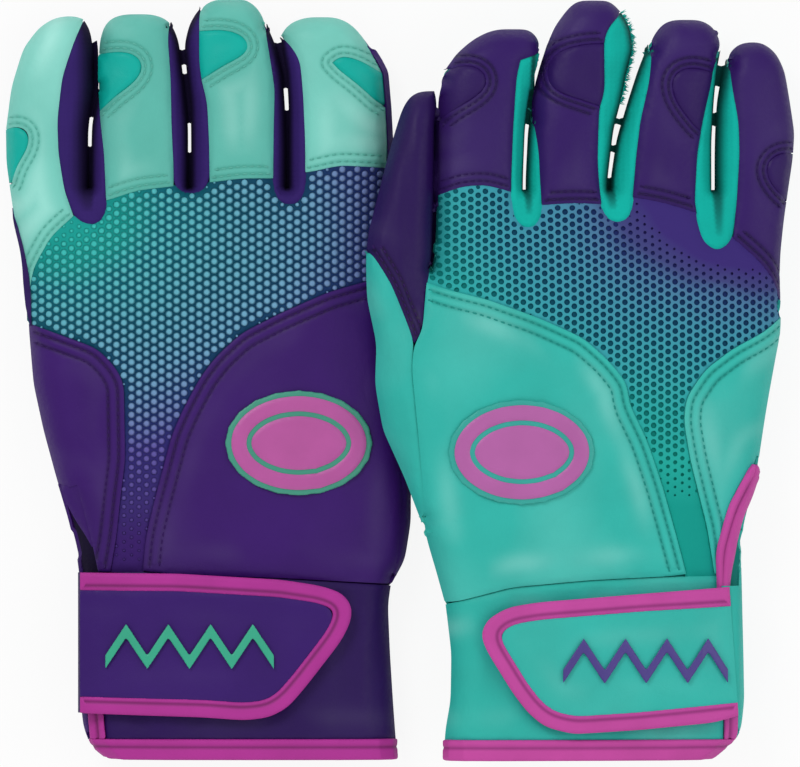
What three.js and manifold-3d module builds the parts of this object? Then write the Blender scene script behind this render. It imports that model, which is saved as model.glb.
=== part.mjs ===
// A pair of batting gloves lying palm down, fingers along +Y, backs up, the right glove leaning on the left one.
// Millimetres, +Z up. Outlines are shares of one square layout sheet, x to the right and y toward the hem.
import * as THREE from 'three';
import Module from 'manifold-3d';

const wasm = await Module();
wasm.setup();

// Driving dimensions
const glove_length = 215;
const glove_length_share = 0.755;
const sheet_side = glove_length / glove_length_share;
const leather_wall = 1.3;
const seam_gap = 0.35;
const palm_depth = 8;
const finger_rise = 9.5;
const thumb_rise = 8.5;
const flat_thumb_rise = 2.2;
const hand_rise = 13;
const binding_width = 4.6;
const binding_lip = 0.5;
const layer_gap = 0.3;
const pad_thickness = 0.7;
const strap_thickness = 1.4;
const patch_thickness = 0.9;
const patch_width = 42;
const patch_height = 30;
const motif_length = 48;
const motif_height = 13;
const motif_stroke = 4;
const motif_thickness = 0.6;
const hook_length = 24;
const mouth_run = 12;
const rest_share = 0.8902;

// Cutting bodies reach past everything: a share of the layout sheet, and of the hand's height
const cutter_size_share = 4;
const cutter_size = cutter_size_share * sheet_side;
const cutter_height = cutter_size_share * (palm_depth + hand_rise);

// Layers over the back of the cuff, each measured outward from its leather
const loop_low = layer_gap;
const loop_high = loop_low + pad_thickness;
const hook_low = loop_high + layer_gap;
const hook_high = hook_low + pad_thickness;
const strap_low = hook_high + layer_gap;
const strap_high = strap_low + strap_thickness;
const motif_low = strap_high + layer_gap;
const motif_high = motif_low + motif_thickness;
const patch_high = layer_gap + patch_thickness;

// Section profiles, across as a share of the half width and up as a share of the rise
const round_back_shares = [[1, 0], [0.95, 0.42], [0.76, 0.79], [0.38, 0.98], [-0.38, 0.98], [-0.76, 0.79],
  [-0.95, 0.42], [-1, 0]];
const broad_back_shares = [[1, 0], [0.975, 0.38], [0.88, 0.72], [0.6, 0.94], [0, 1], [-0.6, 0.94], [-0.88, 0.72],
  [-0.975, 0.38], [-1, 0]];
const full_palm_share = 0.5;
const palm_shares = [[-0.94, 0.6], [-0.72, 1], [0.72, 1], [0.94, 0.6]];

// Colours
const mint = 0x67c2b1;
const turquoise = 0x14aea1;
const violet = 0x422769;
const deep_violet = 0x2f1b58;
const sea_green = 0x39b3a9;
const magenta = 0xb54693;
const net_blue = 0x154b6b;

// Right glove: stations are y, left edge, right edge and rise share, outlines are x and y
const right_shares = {
  body: [[0.19, 0.434, 0.787, 0.5], [0.212, 0.432, 0.785, 0.66], [0.24, 0.431, 0.782, 0.82],
    [0.268, 0.428, 0.779, 0.93], [0.3, 0.405, 0.781, 1], [0.33, 0.372, 0.781, 1], [0.384, 0.37, 0.771, 1],
    [0.43, 0.378, 0.763, 1], [0.478, 0.4, 0.756, 0.98], [0.522, 0.417, 0.744, 0.92], [0.568, 0.431, 0.741, 0.86],
    [0.604, 0.441, 0.742, 0.8], [0.652, 0.447, 0.743, 0.78], [0.7, 0.446, 0.744, 0.78], [0.728, 0.441, 0.741, 0.8],
    [0.741, 0.44, 0.735, 0.82], [0.75, 0.44, 0.722, 0.82], [0.758, 0.44, 0.71, 0.82]],
  thumb: [[0.092, 0.414, 0.43, 0.25], [0.098, 0.404, 0.432, 0.55], [0.112, 0.397, 0.4325, 0.8],
    [0.147, 0.386, 0.4315, 1], [0.194, 0.3735, 0.4295, 1], [0.236, 0.3625, 0.428, 1], [0.262, 0.361, 0.4272, 1],
    [0.3, 0.362, 0.424, 1], [0.345, 0.372, 0.415, 0.9]],
  fingers: {
    index: [[0.03, 0.495, 0.523, 0.3], [0.033, 0.483, 0.531, 0.6], [0.041, 0.468, 0.536, 0.85],
      [0.055, 0.452, 0.5375, 1], [0.075, 0.438, 0.531, 1], [0.1, 0.434, 0.5255, 1], [0.128, 0.433, 0.5215, 1],
      [0.18, 0.432, 0.5195, 1], [0.23, 0.432, 0.519, 1], [0.3, 0.434, 0.517, 0.85]],
    middle: [[0.001, 0.578, 0.604, 0.3], [0.004, 0.57, 0.611, 0.6], [0.013, 0.562, 0.619, 0.85],
      [0.028, 0.551, 0.628, 1], [0.05, 0.542, 0.631, 1], [0.075, 0.534, 0.624, 1], [0.1, 0.5285, 0.619, 1],
      [0.13, 0.5245, 0.611, 1], [0.18, 0.522, 0.605, 1], [0.23, 0.522, 0.604, 1], [0.3, 0.524, 0.602, 0.85]],
    ring: [[0.02, 0.672, 0.697, 0.3], [0.023, 0.662, 0.707, 0.6], [0.031, 0.655, 0.716, 0.85],
      [0.046, 0.6455, 0.7205, 1], [0.07, 0.636, 0.716, 1], [0.1, 0.626, 0.713, 1], [0.14, 0.614, 0.7105, 1],
      [0.18, 0.608, 0.7105, 1], [0.23, 0.607, 0.7105, 1], [0.3, 0.609, 0.709, 0.85]],
    pinky: [[0.042, 0.742, 0.76, 0.3], [0.046, 0.735, 0.768, 0.6], [0.054, 0.728, 0.777, 0.85],
      [0.071, 0.7215, 0.785, 1], [0.1, 0.716, 0.79, 1], [0.133, 0.714, 0.795, 1], [0.16, 0.7135, 0.793, 1],
      [0.2, 0.7135, 0.787, 1], [0.24, 0.7135, 0.781, 1], [0.3, 0.715, 0.779, 0.85]],
  },
  finger_tops: {
    index: [[0.425, 0.199], [0.425, 0.1], [0.43, 0.07], [0.45, 0.04], [0.475, 0.022], [0.51, 0.018], [0.545, 0.03],
      [0.543, 0.042], [0.533, 0.054], [0.512, 0.061], [0.508, 0.077], [0.505, 0.128], [0.503, 0.179], [0.503, 0.192],
      [0.477, 0.185], [0.451, 0.187]],
    middle: [[0.54, 0.04], [0.549, 0.02], [0.56, 0.003], [0.589, -0.008], [0.612, 0], [0.619, 0.011], [0.602, 0.026],
      [0.596, 0.038], [0.597, 0.094], [0.591, 0.11], [0.59, 0.163], [0.594, 0.204], [0.565, 0.203], [0.535, 0.205],
      [0.533, 0.153], [0.527, 0.102], [0.532, 0.064]],
    ring: [[0.647, 0.036], [0.656, 0.018], [0.681, 0.01], [0.708, 0.018], [0.722, 0.044], [0.709, 0.066],
      [0.707, 0.084], [0.698, 0.117], [0.691, 0.153], [0.688, 0.204], [0.69, 0.212], [0.655, 0.202], [0.627, 0.197],
      [0.631, 0.153], [0.635, 0.122], [0.644, 0.084], [0.648, 0.055]],
    pinky: [[0.727, 0.036], [0.75, 0.03], [0.78, 0.042], [0.8, 0.07], [0.806, 0.13], [0.803, 0.19], [0.798, 0.24],
      [0.794, 0.315], [0.781, 0.315], [0.775, 0.286], [0.757, 0.263], [0.728, 0.238], [0.732, 0.204], [0.735, 0.153],
      [0.734, 0.122], [0.728, 0.087], [0.727, 0.051]],
  },
  windows: {
    index: [[0.42, 0.08], [0.435, 0.0775], [0.4425, 0.0712], [0.4525, 0.0675], [0.465, 0.067], [0.4735, 0.0712],
      [0.4785, 0.08], [0.4765, 0.09], [0.4675, 0.0975], [0.455, 0.105], [0.4425, 0.1125], [0.435, 0.12],
      [0.42, 0.13]],
    middle: [[0.5425, 0.065], [0.5475, 0.0575], [0.555, 0.0512], [0.5675, 0.0475], [0.585, 0.045], [0.61, 0.045],
      [0.61, 0.108], [0.589, 0.106], [0.58, 0.1025], [0.565, 0.098], [0.55, 0.0925], [0.543, 0.085],
      [0.5408, 0.075]],
    ring: [[0.665, 0.085], [0.6665, 0.0775], [0.6725, 0.0712], [0.685, 0.068], [0.7, 0.0712], [0.72, 0.077],
      [0.72, 0.137], [0.694, 0.131], [0.6875, 0.125], [0.675, 0.11], [0.6675, 0.0975]],
    pinky: [[0.76, 0.17], [0.764, 0.1605], [0.7725, 0.1545], [0.785, 0.153], [0.81, 0.156], [0.81, 0.212],
      [0.785, 0.2], [0.775, 0.1937], [0.765, 0.1825]],
  },
  gussets: {
    index_middle: [[0.48, 0.02], [0.575, -0.01], [0.575, 0.2], [0.5345, 0.205], [0.5335, 0.215], [0.531, 0.2225],
      [0.526, 0.228], [0.5195, 0.23], [0.513, 0.2277], [0.5085, 0.2225], [0.506, 0.213], [0.503, 0.192],
      [0.48, 0.18]],
    middle_ring: [[0.58, -0.01], [0.672, 0], [0.672, 0.19], [0.627, 0.198], [0.626, 0.208], [0.6235, 0.216],
      [0.618, 0.2217], [0.6105, 0.2237], [0.603, 0.2217], [0.5975, 0.2157], [0.5945, 0.206], [0.594, 0.204],
      [0.58, 0.195]],
    ring_pinky: [[0.69, 0], [0.75, 0.02], [0.75, 0.2], [0.7305, 0.222], [0.728, 0.233], [0.7235, 0.2425],
      [0.7175, 0.2485], [0.7095, 0.2508], [0.702, 0.2475], [0.6957, 0.2395], [0.692, 0.2275], [0.69, 0.212],
      [0.68, 0.2]],
  },
  thumb_back: [[0.38, 0.08], [0.445, 0.08], [0.4299, 0.12], [0.4299, 0.255], [0.418, 0.284], [0.412, 0.332],
    [0.405, 0.343], [0.398, 0.32], [0.383, 0.284], [0.364, 0.252], [0.345, 0.24], [0.36, 0.15]],
  thumb_side: [[0.34, 0.24], [0.364, 0.252], [0.383, 0.284], [0.398, 0.32], [0.405, 0.343], [0.403, 0.37],
    [0.409, 0.43], [0.417, 0.5], [0.425, 0.563], [0.44, 0.604], [0.41, 0.61], [0.35, 0.5], [0.34, 0.38]],
  dorsal: [[0.415, 0.282], [0.438, 0.291], [0.477, 0.301], [0.528, 0.319], [0.573, 0.339], [0.599, 0.362],
    [0.617, 0.384], [0.619, 0.404], [0.637, 0.44], [0.653, 0.486], [0.668, 0.537], [0.678, 0.573], [0.663, 0.575],
    [0.579, 0.579], [0.502, 0.586], [0.446, 0.601], [0.438, 0.6], [0.425, 0.563], [0.417, 0.5], [0.409, 0.43],
    [0.403, 0.37], [0.405, 0.343], [0.412, 0.332]],
  pinky_side: [[0.81, 0.316], [0.783, 0.316], [0.757, 0.334], [0.727, 0.349], [0.698, 0.37], [0.688, 0.384],
    [0.678, 0.399], [0.676, 0.422], [0.683, 0.461], [0.691, 0.491], [0.701, 0.527], [0.709, 0.573], [0.721, 0.573],
    [0.724, 0.547], [0.739, 0.499], [0.757, 0.463], [0.8, 0.463]],
  slit: [[0.762, 0.46], [0.742, 0.5], [0.73, 0.547], [0.727, 0.6], [0.727, 0.7], [0.727, 0.7395]],
  palm_strip: [[0.8, 0.466], [0.757, 0.466], [0.739, 0.5], [0.727, 0.547], [0.727, 0.7395], [0.8, 0.7395]],
  cuff: [[0.41, 0.61], [0.446, 0.603], [0.502, 0.588], [0.579, 0.581], [0.663, 0.577], [0.727, 0.576],
    [0.727, 0.7395], [0.41, 0.7395]],
  mesh: [[0.41, 0.178], [0.735, 0.178], [0.8, 0.24], [0.8, 0.318], [0.71, 0.4], [0.713, 0.575], [0.674, 0.575],
    [0.55, 0.36], [0.405, 0.29]],
  wrist: 0.604,
  hem: 0.741,
  strap: [[0.738, 0.586], [0.63, 0.594], [0.528, 0.602], [0.497, 0.607], [0.477, 0.619], [0.471, 0.634],
    [0.477, 0.649], [0.502, 0.69], [0.518, 0.711], [0.535, 0.725], [0.563, 0.732], [0.63, 0.728], [0.706, 0.721],
    [0.738, 0.713]],
  strap_root: 0.738,
  patch: [0.511, 0.452],
  motif: [0.636, 0.66],
};

// Left glove, laid out the same way
const left_shares = {
  body: [[0.188, 0.012, 0.386, 0.5], [0.212, 0.014, 0.387, 0.66], [0.24, 0.019, 0.388, 0.82],
    [0.268, 0.025, 0.389, 0.93], [0.3, 0.0275, 0.392, 1], [0.33, 0.0285, 0.396, 1], [0.384, 0.033, 0.402, 1],
    [0.43, 0.043, 0.408, 1], [0.478, 0.056, 0.411, 0.98], [0.522, 0.069, 0.411, 0.92], [0.56, 0.077, 0.405, 0.87],
    [0.585, 0.08, 0.391, 0.82], [0.604, 0.081, 0.388, 0.8], [0.652, 0.081, 0.39, 0.78], [0.7, 0.08, 0.393, 0.78],
    [0.728, 0.083, 0.395, 0.8], [0.741, 0.088, 0.396, 0.82], [0.75, 0.096, 0.396, 0.82],
    [0.758, 0.108, 0.397, 0.82]],
  thumb: [[0.172, 0.407, 0.435, 0.3], [0.179, 0.398, 0.446, 0.6], [0.192, 0.3915, 0.452, 1],
    [0.24, 0.3912, 0.455, 1], [0.29, 0.394, 0.455, 1], [0.34, 0.384, 0.452, 1], [0.4, 0.37, 0.445, 1],
    [0.45, 0.364, 0.43, 1], [0.49, 0.362, 0.408, 0.8]],
  fingers: {
    index: [[0.017, 0.308, 0.333, 0.3], [0.02, 0.296, 0.344, 0.6], [0.026, 0.286, 0.353, 0.85],
      [0.036, 0.2805, 0.362, 1], [0.05, 0.2822, 0.371, 1], [0.073, 0.2865, 0.383, 1], [0.107, 0.2885, 0.386, 1],
      [0.145, 0.2885, 0.388, 1], [0.19, 0.2885, 0.388, 1], [0.24, 0.289, 0.388, 1], [0.3, 0.291, 0.386, 0.85]],
    middle: [[-0.001, 0.217, 0.244, 0.3], [0.003, 0.206, 0.253, 0.6], [0.01, 0.1975, 0.259, 0.85],
      [0.024, 0.189, 0.2665, 1], [0.045, 0.184, 0.2755, 1], [0.073, 0.1865, 0.2825, 1], [0.107, 0.1905, 0.285, 1],
      [0.145, 0.1908, 0.286, 1], [0.19, 0.1908, 0.286, 1], [0.3, 0.193, 0.284, 0.85]],
    ring: [[0.014, 0.125, 0.15, 0.3], [0.017, 0.112, 0.163, 0.6], [0.025, 0.104, 0.172, 0.85],
      [0.04, 0.0995, 0.1785, 1], [0.084, 0.097, 0.184, 1], [0.125, 0.0915, 0.188, 1], [0.18, 0.0905, 0.188, 1],
      [0.23, 0.092, 0.188, 1], [0.3, 0.095, 0.186, 0.85]],
    pinky: [[0.016, 0.061, 0.076, 0.3], [0.019, 0.051, 0.083, 0.6], [0.028, 0.038, 0.0895, 0.85],
      [0.048, 0.023, 0.093, 1], [0.087, 0.011, 0.0935, 1], [0.13, 0.0055, 0.088, 1], [0.163, 0.006, 0.088, 1],
      [0.212, 0.013, 0.088, 1], [0.26, 0.021, 0.085, 1], [0.3, 0.026, 0.08, 0.85]],
  },
  finger_tops: {
    index: [[0.279, 0.034], [0.282, 0.018], [0.31, 0.006], [0.345, 0.008], [0.37, 0.03], [0.392, 0.065],
      [0.398, 0.11], [0.4, 0.168], [0.378, 0.167], [0.339, 0.165], [0.31, 0.172], [0.306, 0.172], [0.306, 0.143],
      [0.304, 0.097], [0.301, 0.061], [0.291, 0.045]],
    middle: [[0.2, 0.016], [0.203, 0], [0.215, -0.01], [0.25, -0.01], [0.266, 0.012], [0.2645, 0.03],
      [0.268, 0.051], [0.274, 0.089], [0.273, 0.128], [0.2725, 0.178], [0.242, 0.178], [0.2105, 0.182],
      [0.21, 0.143], [0.208, 0.102], [0.202, 0.079], [0.2, 0.064], [0.2, 0.028]],
    ring: [[0.099, 0.034], [0.104, 0.018], [0.12, 0.004], [0.155, 0.004], [0.169, 0.02], [0.167, 0.038],
      [0.17, 0.077], [0.171, 0.128], [0.173, 0.168], [0.173, 0.186], [0.138, 0.19], [0.107, 0.2], [0.105, 0.153],
      [0.101, 0.12], [0.0985, 0.084]],
    pinky: [[0.082, 0.005], [0.083, 0.02], [0.074, 0.041], [0.062, 0.077], [0.057, 0.12], [0.058, 0.153],
      [0.064, 0.191], [0.073, 0.216], [0.051, 0.236], [0.033, 0.268], [0.027, 0.3], [0.0275, 0.322], [0.005, 0.324],
      [-0.012, 0.2], [-0.015, 0.1], [0.005, 0.03], [0.04, 0.003]],
  },
  windows: {
    index: [[0.333, 0.063], [0.3355, 0.0585], [0.3425, 0.0562], [0.355, 0.0595], [0.37, 0.0662], [0.3775, 0.0725],
      [0.41, 0.08], [0.41, 0.115], [0.3775, 0.1025], [0.365, 0.0905], [0.3525, 0.08], [0.3387, 0.07]],
    middle: [[0.19, 0.032], [0.2037, 0.032], [0.2175, 0.0305], [0.2325, 0.032], [0.2437, 0.0375], [0.2493, 0.0455],
      [0.2475, 0.0525], [0.2375, 0.0587], [0.2212, 0.067], [0.2062, 0.077], [0.19, 0.085]],
    ring: [[0.085, 0.0555], [0.0987, 0.0545], [0.1175, 0.0525], [0.1325, 0.0537], [0.14, 0.0587], [0.143, 0.066],
      [0.1405, 0.0755], [0.13, 0.0862], [0.115, 0.0962], [0.1025, 0.1087], [0.085, 0.12]],
    pinky: [[-0.01, 0.131], [0.0062, 0.13], [0.0125, 0.127], [0.0225, 0.1275], [0.0285, 0.1325], [0.0295, 0.1412],
      [0.0262, 0.1512], [0.02, 0.16], [0.015, 0.17], [0.0112, 0.1825], [-0.01, 0.19]],
  },
  gussets: {
    index_middle: [[0.25, -0.02], [0.32, 0], [0.32, 0.16], [0.306, 0.173], [0.3052, 0.188], [0.303, 0.197],
      [0.2977, 0.2035], [0.29, 0.206], [0.2822, 0.204], [0.2767, 0.198], [0.274, 0.189], [0.273, 0.178],
      [0.25, 0.165]],
    middle_ring: [[0.15, 0], [0.23, -0.02], [0.23, 0.17], [0.2105, 0.1795], [0.2077, 0.186], [0.2, 0.192],
      [0.191, 0.1942], [0.1825, 0.1927], [0.1755, 0.187], [0.173, 0.179], [0.173, 0.17], [0.15, 0.16]],
    ring_pinky: [[0.06, 0], [0.12, 0], [0.12, 0.19], [0.107, 0.2], [0.1062, 0.212], [0.102, 0.2212],
      [0.093, 0.2257], [0.0837, 0.2235], [0.0747, 0.2165], [0.0677, 0.205], [0.064, 0.191], [0.045, 0.18]],
  },
  thumb_back: [[0.3895, 0.16], [0.47, 0.16], [0.47, 0.4], [0.45, 0.46], [0.413, 0.42], [0.4, 0.36], [0.3885, 0.31]],
  thumb_side: [[0.376, 0.282], [0.3885, 0.3], [0.4, 0.36], [0.413, 0.42], [0.45, 0.46], [0.44, 0.56], [0.42, 0.583],
    [0.391, 0.583], [0.397, 0.56], [0.401, 0.5], [0.396, 0.42], [0.388, 0.35], [0.38, 0.3]],
  dorsal: [[0.372, 0.281], [0.361, 0.284], [0.329, 0.293], [0.281, 0.314], [0.242, 0.334], [0.217, 0.357],
    [0.201, 0.378], [0.184, 0.41], [0.173, 0.435], [0.163, 0.473], [0.156, 0.499], [0.147, 0.537], [0.144, 0.57],
    [0.179, 0.574], [0.281, 0.577], [0.388, 0.583], [0.397, 0.56], [0.401, 0.5], [0.396, 0.42], [0.388, 0.35],
    [0.38, 0.3]],
  pinky_side: [[0.005, 0.324], [0.028, 0.324], [0.064, 0.337], [0.097, 0.349], [0.115, 0.367], [0.124, 0.384],
    [0.124, 0.399], [0.125, 0.46], [0.12, 0.499], [0.116, 0.537], [0.11, 0.571], [0.089, 0.571], [0.083, 0.54],
    [0.068, 0.485], [0.02, 0.475]],
  slit: [[0.069, 0.488], [0.083, 0.54], [0.0935, 0.59], [0.0945, 0.7], [0.098, 0.7395]],
  palm_strip: [[0.02, 0.48], [0.069, 0.48], [0.083, 0.54], [0.0935, 0.59], [0.0945, 0.7], [0.098, 0.7395],
    [0.02, 0.7395]],
  cuff: [[0.088, 0.574], [0.144, 0.5725], [0.281, 0.579], [0.391, 0.586], [0.43, 0.59], [0.43, 0.7395],
    [0.088, 0.7395]],
  mesh: [[0, 0.178], [0.07, 0.178], [0.4, 0.155], [0.4, 0.3], [0.36, 0.29], [0.146, 0.5705], [0.108, 0.5705],
    [0.11, 0.38], [0.005, 0.33]],
  wrist: 0.585,
  hem: 0.741,
  strap: [[0.078, 0.573], [0.179, 0.574], [0.281, 0.58], [0.321, 0.586], [0.342, 0.593], [0.352, 0.606],
    [0.35, 0.622], [0.34, 0.641], [0.306, 0.685], [0.288, 0.706], [0.27, 0.716], [0.245, 0.719], [0.204, 0.716],
    [0.078, 0.712]],
  strap_root: 0.078,
  patch: [0.299, 0.443],
  motif: [0.19, 0.646],
};

// Layout sheet to millimetres
function place([across, down]) {
  return [across * sheet_side, -down * sheet_side];
}

function toSolid(positions, triangles) {
  const vertices = new Float32Array(positions);
  const corners = new Uint32Array(triangles);
  return new wasm.Manifold(new wasm.Mesh({ numProp: 3, vertProperties: vertices, triVerts: corners }));
}

// A closed tube through sections across the glove, swelled or shrunk by a distance all round
function loft(stations, back_shares, rise, grow, mouth) {
  const positions = [];
  const triangles = [];
  const last = stations.length - 1;
  stations.forEach(([down, left, right, rise_share], step) => {
    const middle = (left + right) / 2 * sheet_side;
    const half = (right - left) / 2 * sheet_side + grow;
    const end = step === 0 ? grow : step === last ? -grow - mouth : 0;
    const y = -down * sheet_side + end;
    const top = rise * rise_share + grow;
    const depth = palm_depth * Math.min(1, rise_share / full_palm_share) + grow;
    for (const [across, up] of back_shares) positions.push(middle + across * half, y, palm_depth + up * top);
    for (const [across, up] of palm_shares) positions.push(middle + across * half, y, palm_depth - up * depth);
  });
  const ring = back_shares.length + palm_shares.length;
  for (let step = 0; step < last; step += 1) {
    for (let k = 0; k < ring; k += 1) {
      const next = (k + 1) % ring;
      const a = step * ring + k;
      const b = step * ring + next;
      triangles.push(a, b, b + ring, a, b + ring, a + ring);
    }
  }
  for (let k = 1; k < ring - 1; k += 1) {
    triangles.push(0, k + 1, k);
    triangles.push(last * ring, last * ring + k, last * ring + k + 1);
  }
  return toSolid(positions, triangles);
}

// A closed polygon moved outward (or inward) by a distance, in millimetres
function grown(points, distance) {
  const turn = THREE.ShapeUtils.area(points.map(([x, y]) => new THREE.Vector2(x, y)));
  const ring = turn > 0 ? points : [...points].reverse();
  return ring.map((point, k) => {
    const before = ring[(k + ring.length - 1) % ring.length];
    const after = ring[(k + 1) % ring.length];
    const into = new THREE.Vector2(point[0] - before[0], point[1] - before[1]).normalize();
    const out = new THREE.Vector2(after[0] - point[0], after[1] - point[1]).normalize();
    const side = new THREE.Vector2(into.y + out.y, -into.x - out.x).normalize();
    const reach = distance / Math.max(0.5, side.x * into.y - side.y * into.x);
    return [point[0] + side.x * reach, point[1] + side.y * reach];
  });
}

// An upright prism over an outline, from below the floor to above every piece
function prism(points) {
  const shape = new THREE.Shape(points.map(([x, y]) => new THREE.Vector2(x, y)));
  const extruded = new THREE.ExtrudeGeometry(shape, { depth: cutter_height, bevelEnabled: false });
  extruded.translate(0, 0, -cutter_height / 2);
  return solidOf(extruded);
}

// Any closed three.js geometry as a solid, equal corners joined
function solidOf(geometry) {
  const corners = geometry.getAttribute('position');
  const index = geometry.getIndex();
  const count = index ? index.count : corners.count;
  const known = new Map();
  const positions = [];
  const triangles = [];
  for (let k = 0; k < count; k += 1) {
    const v = index ? index.getX(k) : k;
    const point = [corners.getX(v), corners.getY(v), corners.getZ(v)];
    const key = point.map((value) => value.toFixed(4)).join();
    if (!known.has(key)) {
      known.set(key, positions.length / 3);
      positions.push(...point);
    }
    triangles.push(known.get(key));
  }
  return toSolid(positions, triangles);
}

// Everything above (side 1) or below (side -1) the seam between back and palm
function half(side) {
  const box = new THREE.BoxGeometry(cutter_size, cutter_size, cutter_size);
  box.translate(0, 0, palm_depth + side * (cutter_size / 2 + seam_gap / 2));
  return solidOf(box);
}

// Everything on the finger side (1) or the wrist side (-1) of a line across the glove
function beyond(down, side) {
  const box = new THREE.BoxGeometry(cutter_size, cutter_size, cutter_size);
  box.translate(0, -down * sheet_side + side * cutter_size / 2, 0);
  return solidOf(box);
}

// The largest connected body of a solid, as a three.js geometry
function largestBody(solid) {
  const mesh = solid.getMesh();
  const count = mesh.vertProperties.length / mesh.numProp;
  const parent = Array.from({ length: count }, (_, k) => k);
  const root = (k) => {
    let at = k;
    while (parent[at] !== at) at = parent[at];
    return at;
  };
  const triangles = mesh.triVerts;
  for (let k = 0; k < triangles.length; k += 3) {
    const a = root(triangles[k]);
    parent[root(triangles[k + 1])] = a;
    parent[root(triangles[k + 2])] = a;
  }
  const point = (k) => new THREE.Vector3(...mesh.vertProperties.slice(k * mesh.numProp, k * mesh.numProp + 3));
  const volumes = new Map();
  for (let k = 0; k < triangles.length; k += 3) {
    const body = root(triangles[k]);
    const wedge = point(triangles[k]).dot(point(triangles[k + 1]).cross(point(triangles[k + 2])));
    volumes.set(body, (volumes.get(body) ?? 0) + wedge);
  }
  const [kept] = [...volumes].sort((one, other) => other[1] - one[1])[0];
  const index = [];
  for (let k = 0; k < triangles.length; k += 3) {
    if (root(triangles[k]) === kept) index.push(triangles[k], triangles[k + 1], triangles[k + 2]);
  }
  const used = [...new Set(index)];
  const renumbered = new Map(used.map((vertex, k) => [vertex, k]));
  const positions = used.flatMap((vertex) => point(vertex).toArray());
  const geometry = new THREE.BufferGeometry();
  geometry.setAttribute('position', new THREE.Float32BufferAttribute(positions, 3));
  geometry.setIndex(index.map((vertex) => renumbered.get(vertex)));
  geometry.computeVertexNormals();
  return geometry;
}

// A strip of even width along a path
function strip(path, width) {
  const sides = [1, -1].map((side) => path.map((point, k) => {
    const before = path[Math.max(0, k - 1)];
    const after = path[Math.min(path.length - 1, k + 1)];
    const along = new THREE.Vector2(after[0] - before[0], after[1] - before[1]).normalize();
    return [point[0] - along.y * side * width / 2, point[1] + along.x * side * width / 2];
  }));
  return [...sides[0], ...sides[1].reverse()];
}

function oval([across, down], width, height) {
  const [x, y] = place([across, down]);
  const corners = 20;
  return Array.from({ length: corners }, (_, k) => {
    const angle = 2 * Math.PI * k / corners;
    return [x + width / 2 * Math.cos(angle), y + height / 2 * Math.sin(angle)];
  });
}

// A zigzag band with slanted ends
function zigzag([across, down], length, height, stroke) {
  const [x, y] = place([across, down]);
  const turns = 8;
  const path = Array.from({ length: turns + 1 }, (_, k) => {
    const side = k % 2 === 0 ? -1 : 1;
    return [x + length * (k / turns - 1 / 2), y + side * (height - stroke) / 2];
  });
  const upper = path.map(([px, py]) => [px, py + stroke / 2]);
  const lower = path.map(([px, py]) => [px, py - stroke / 2]);
  return [...upper, ...lower.reverse()];
}

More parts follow.
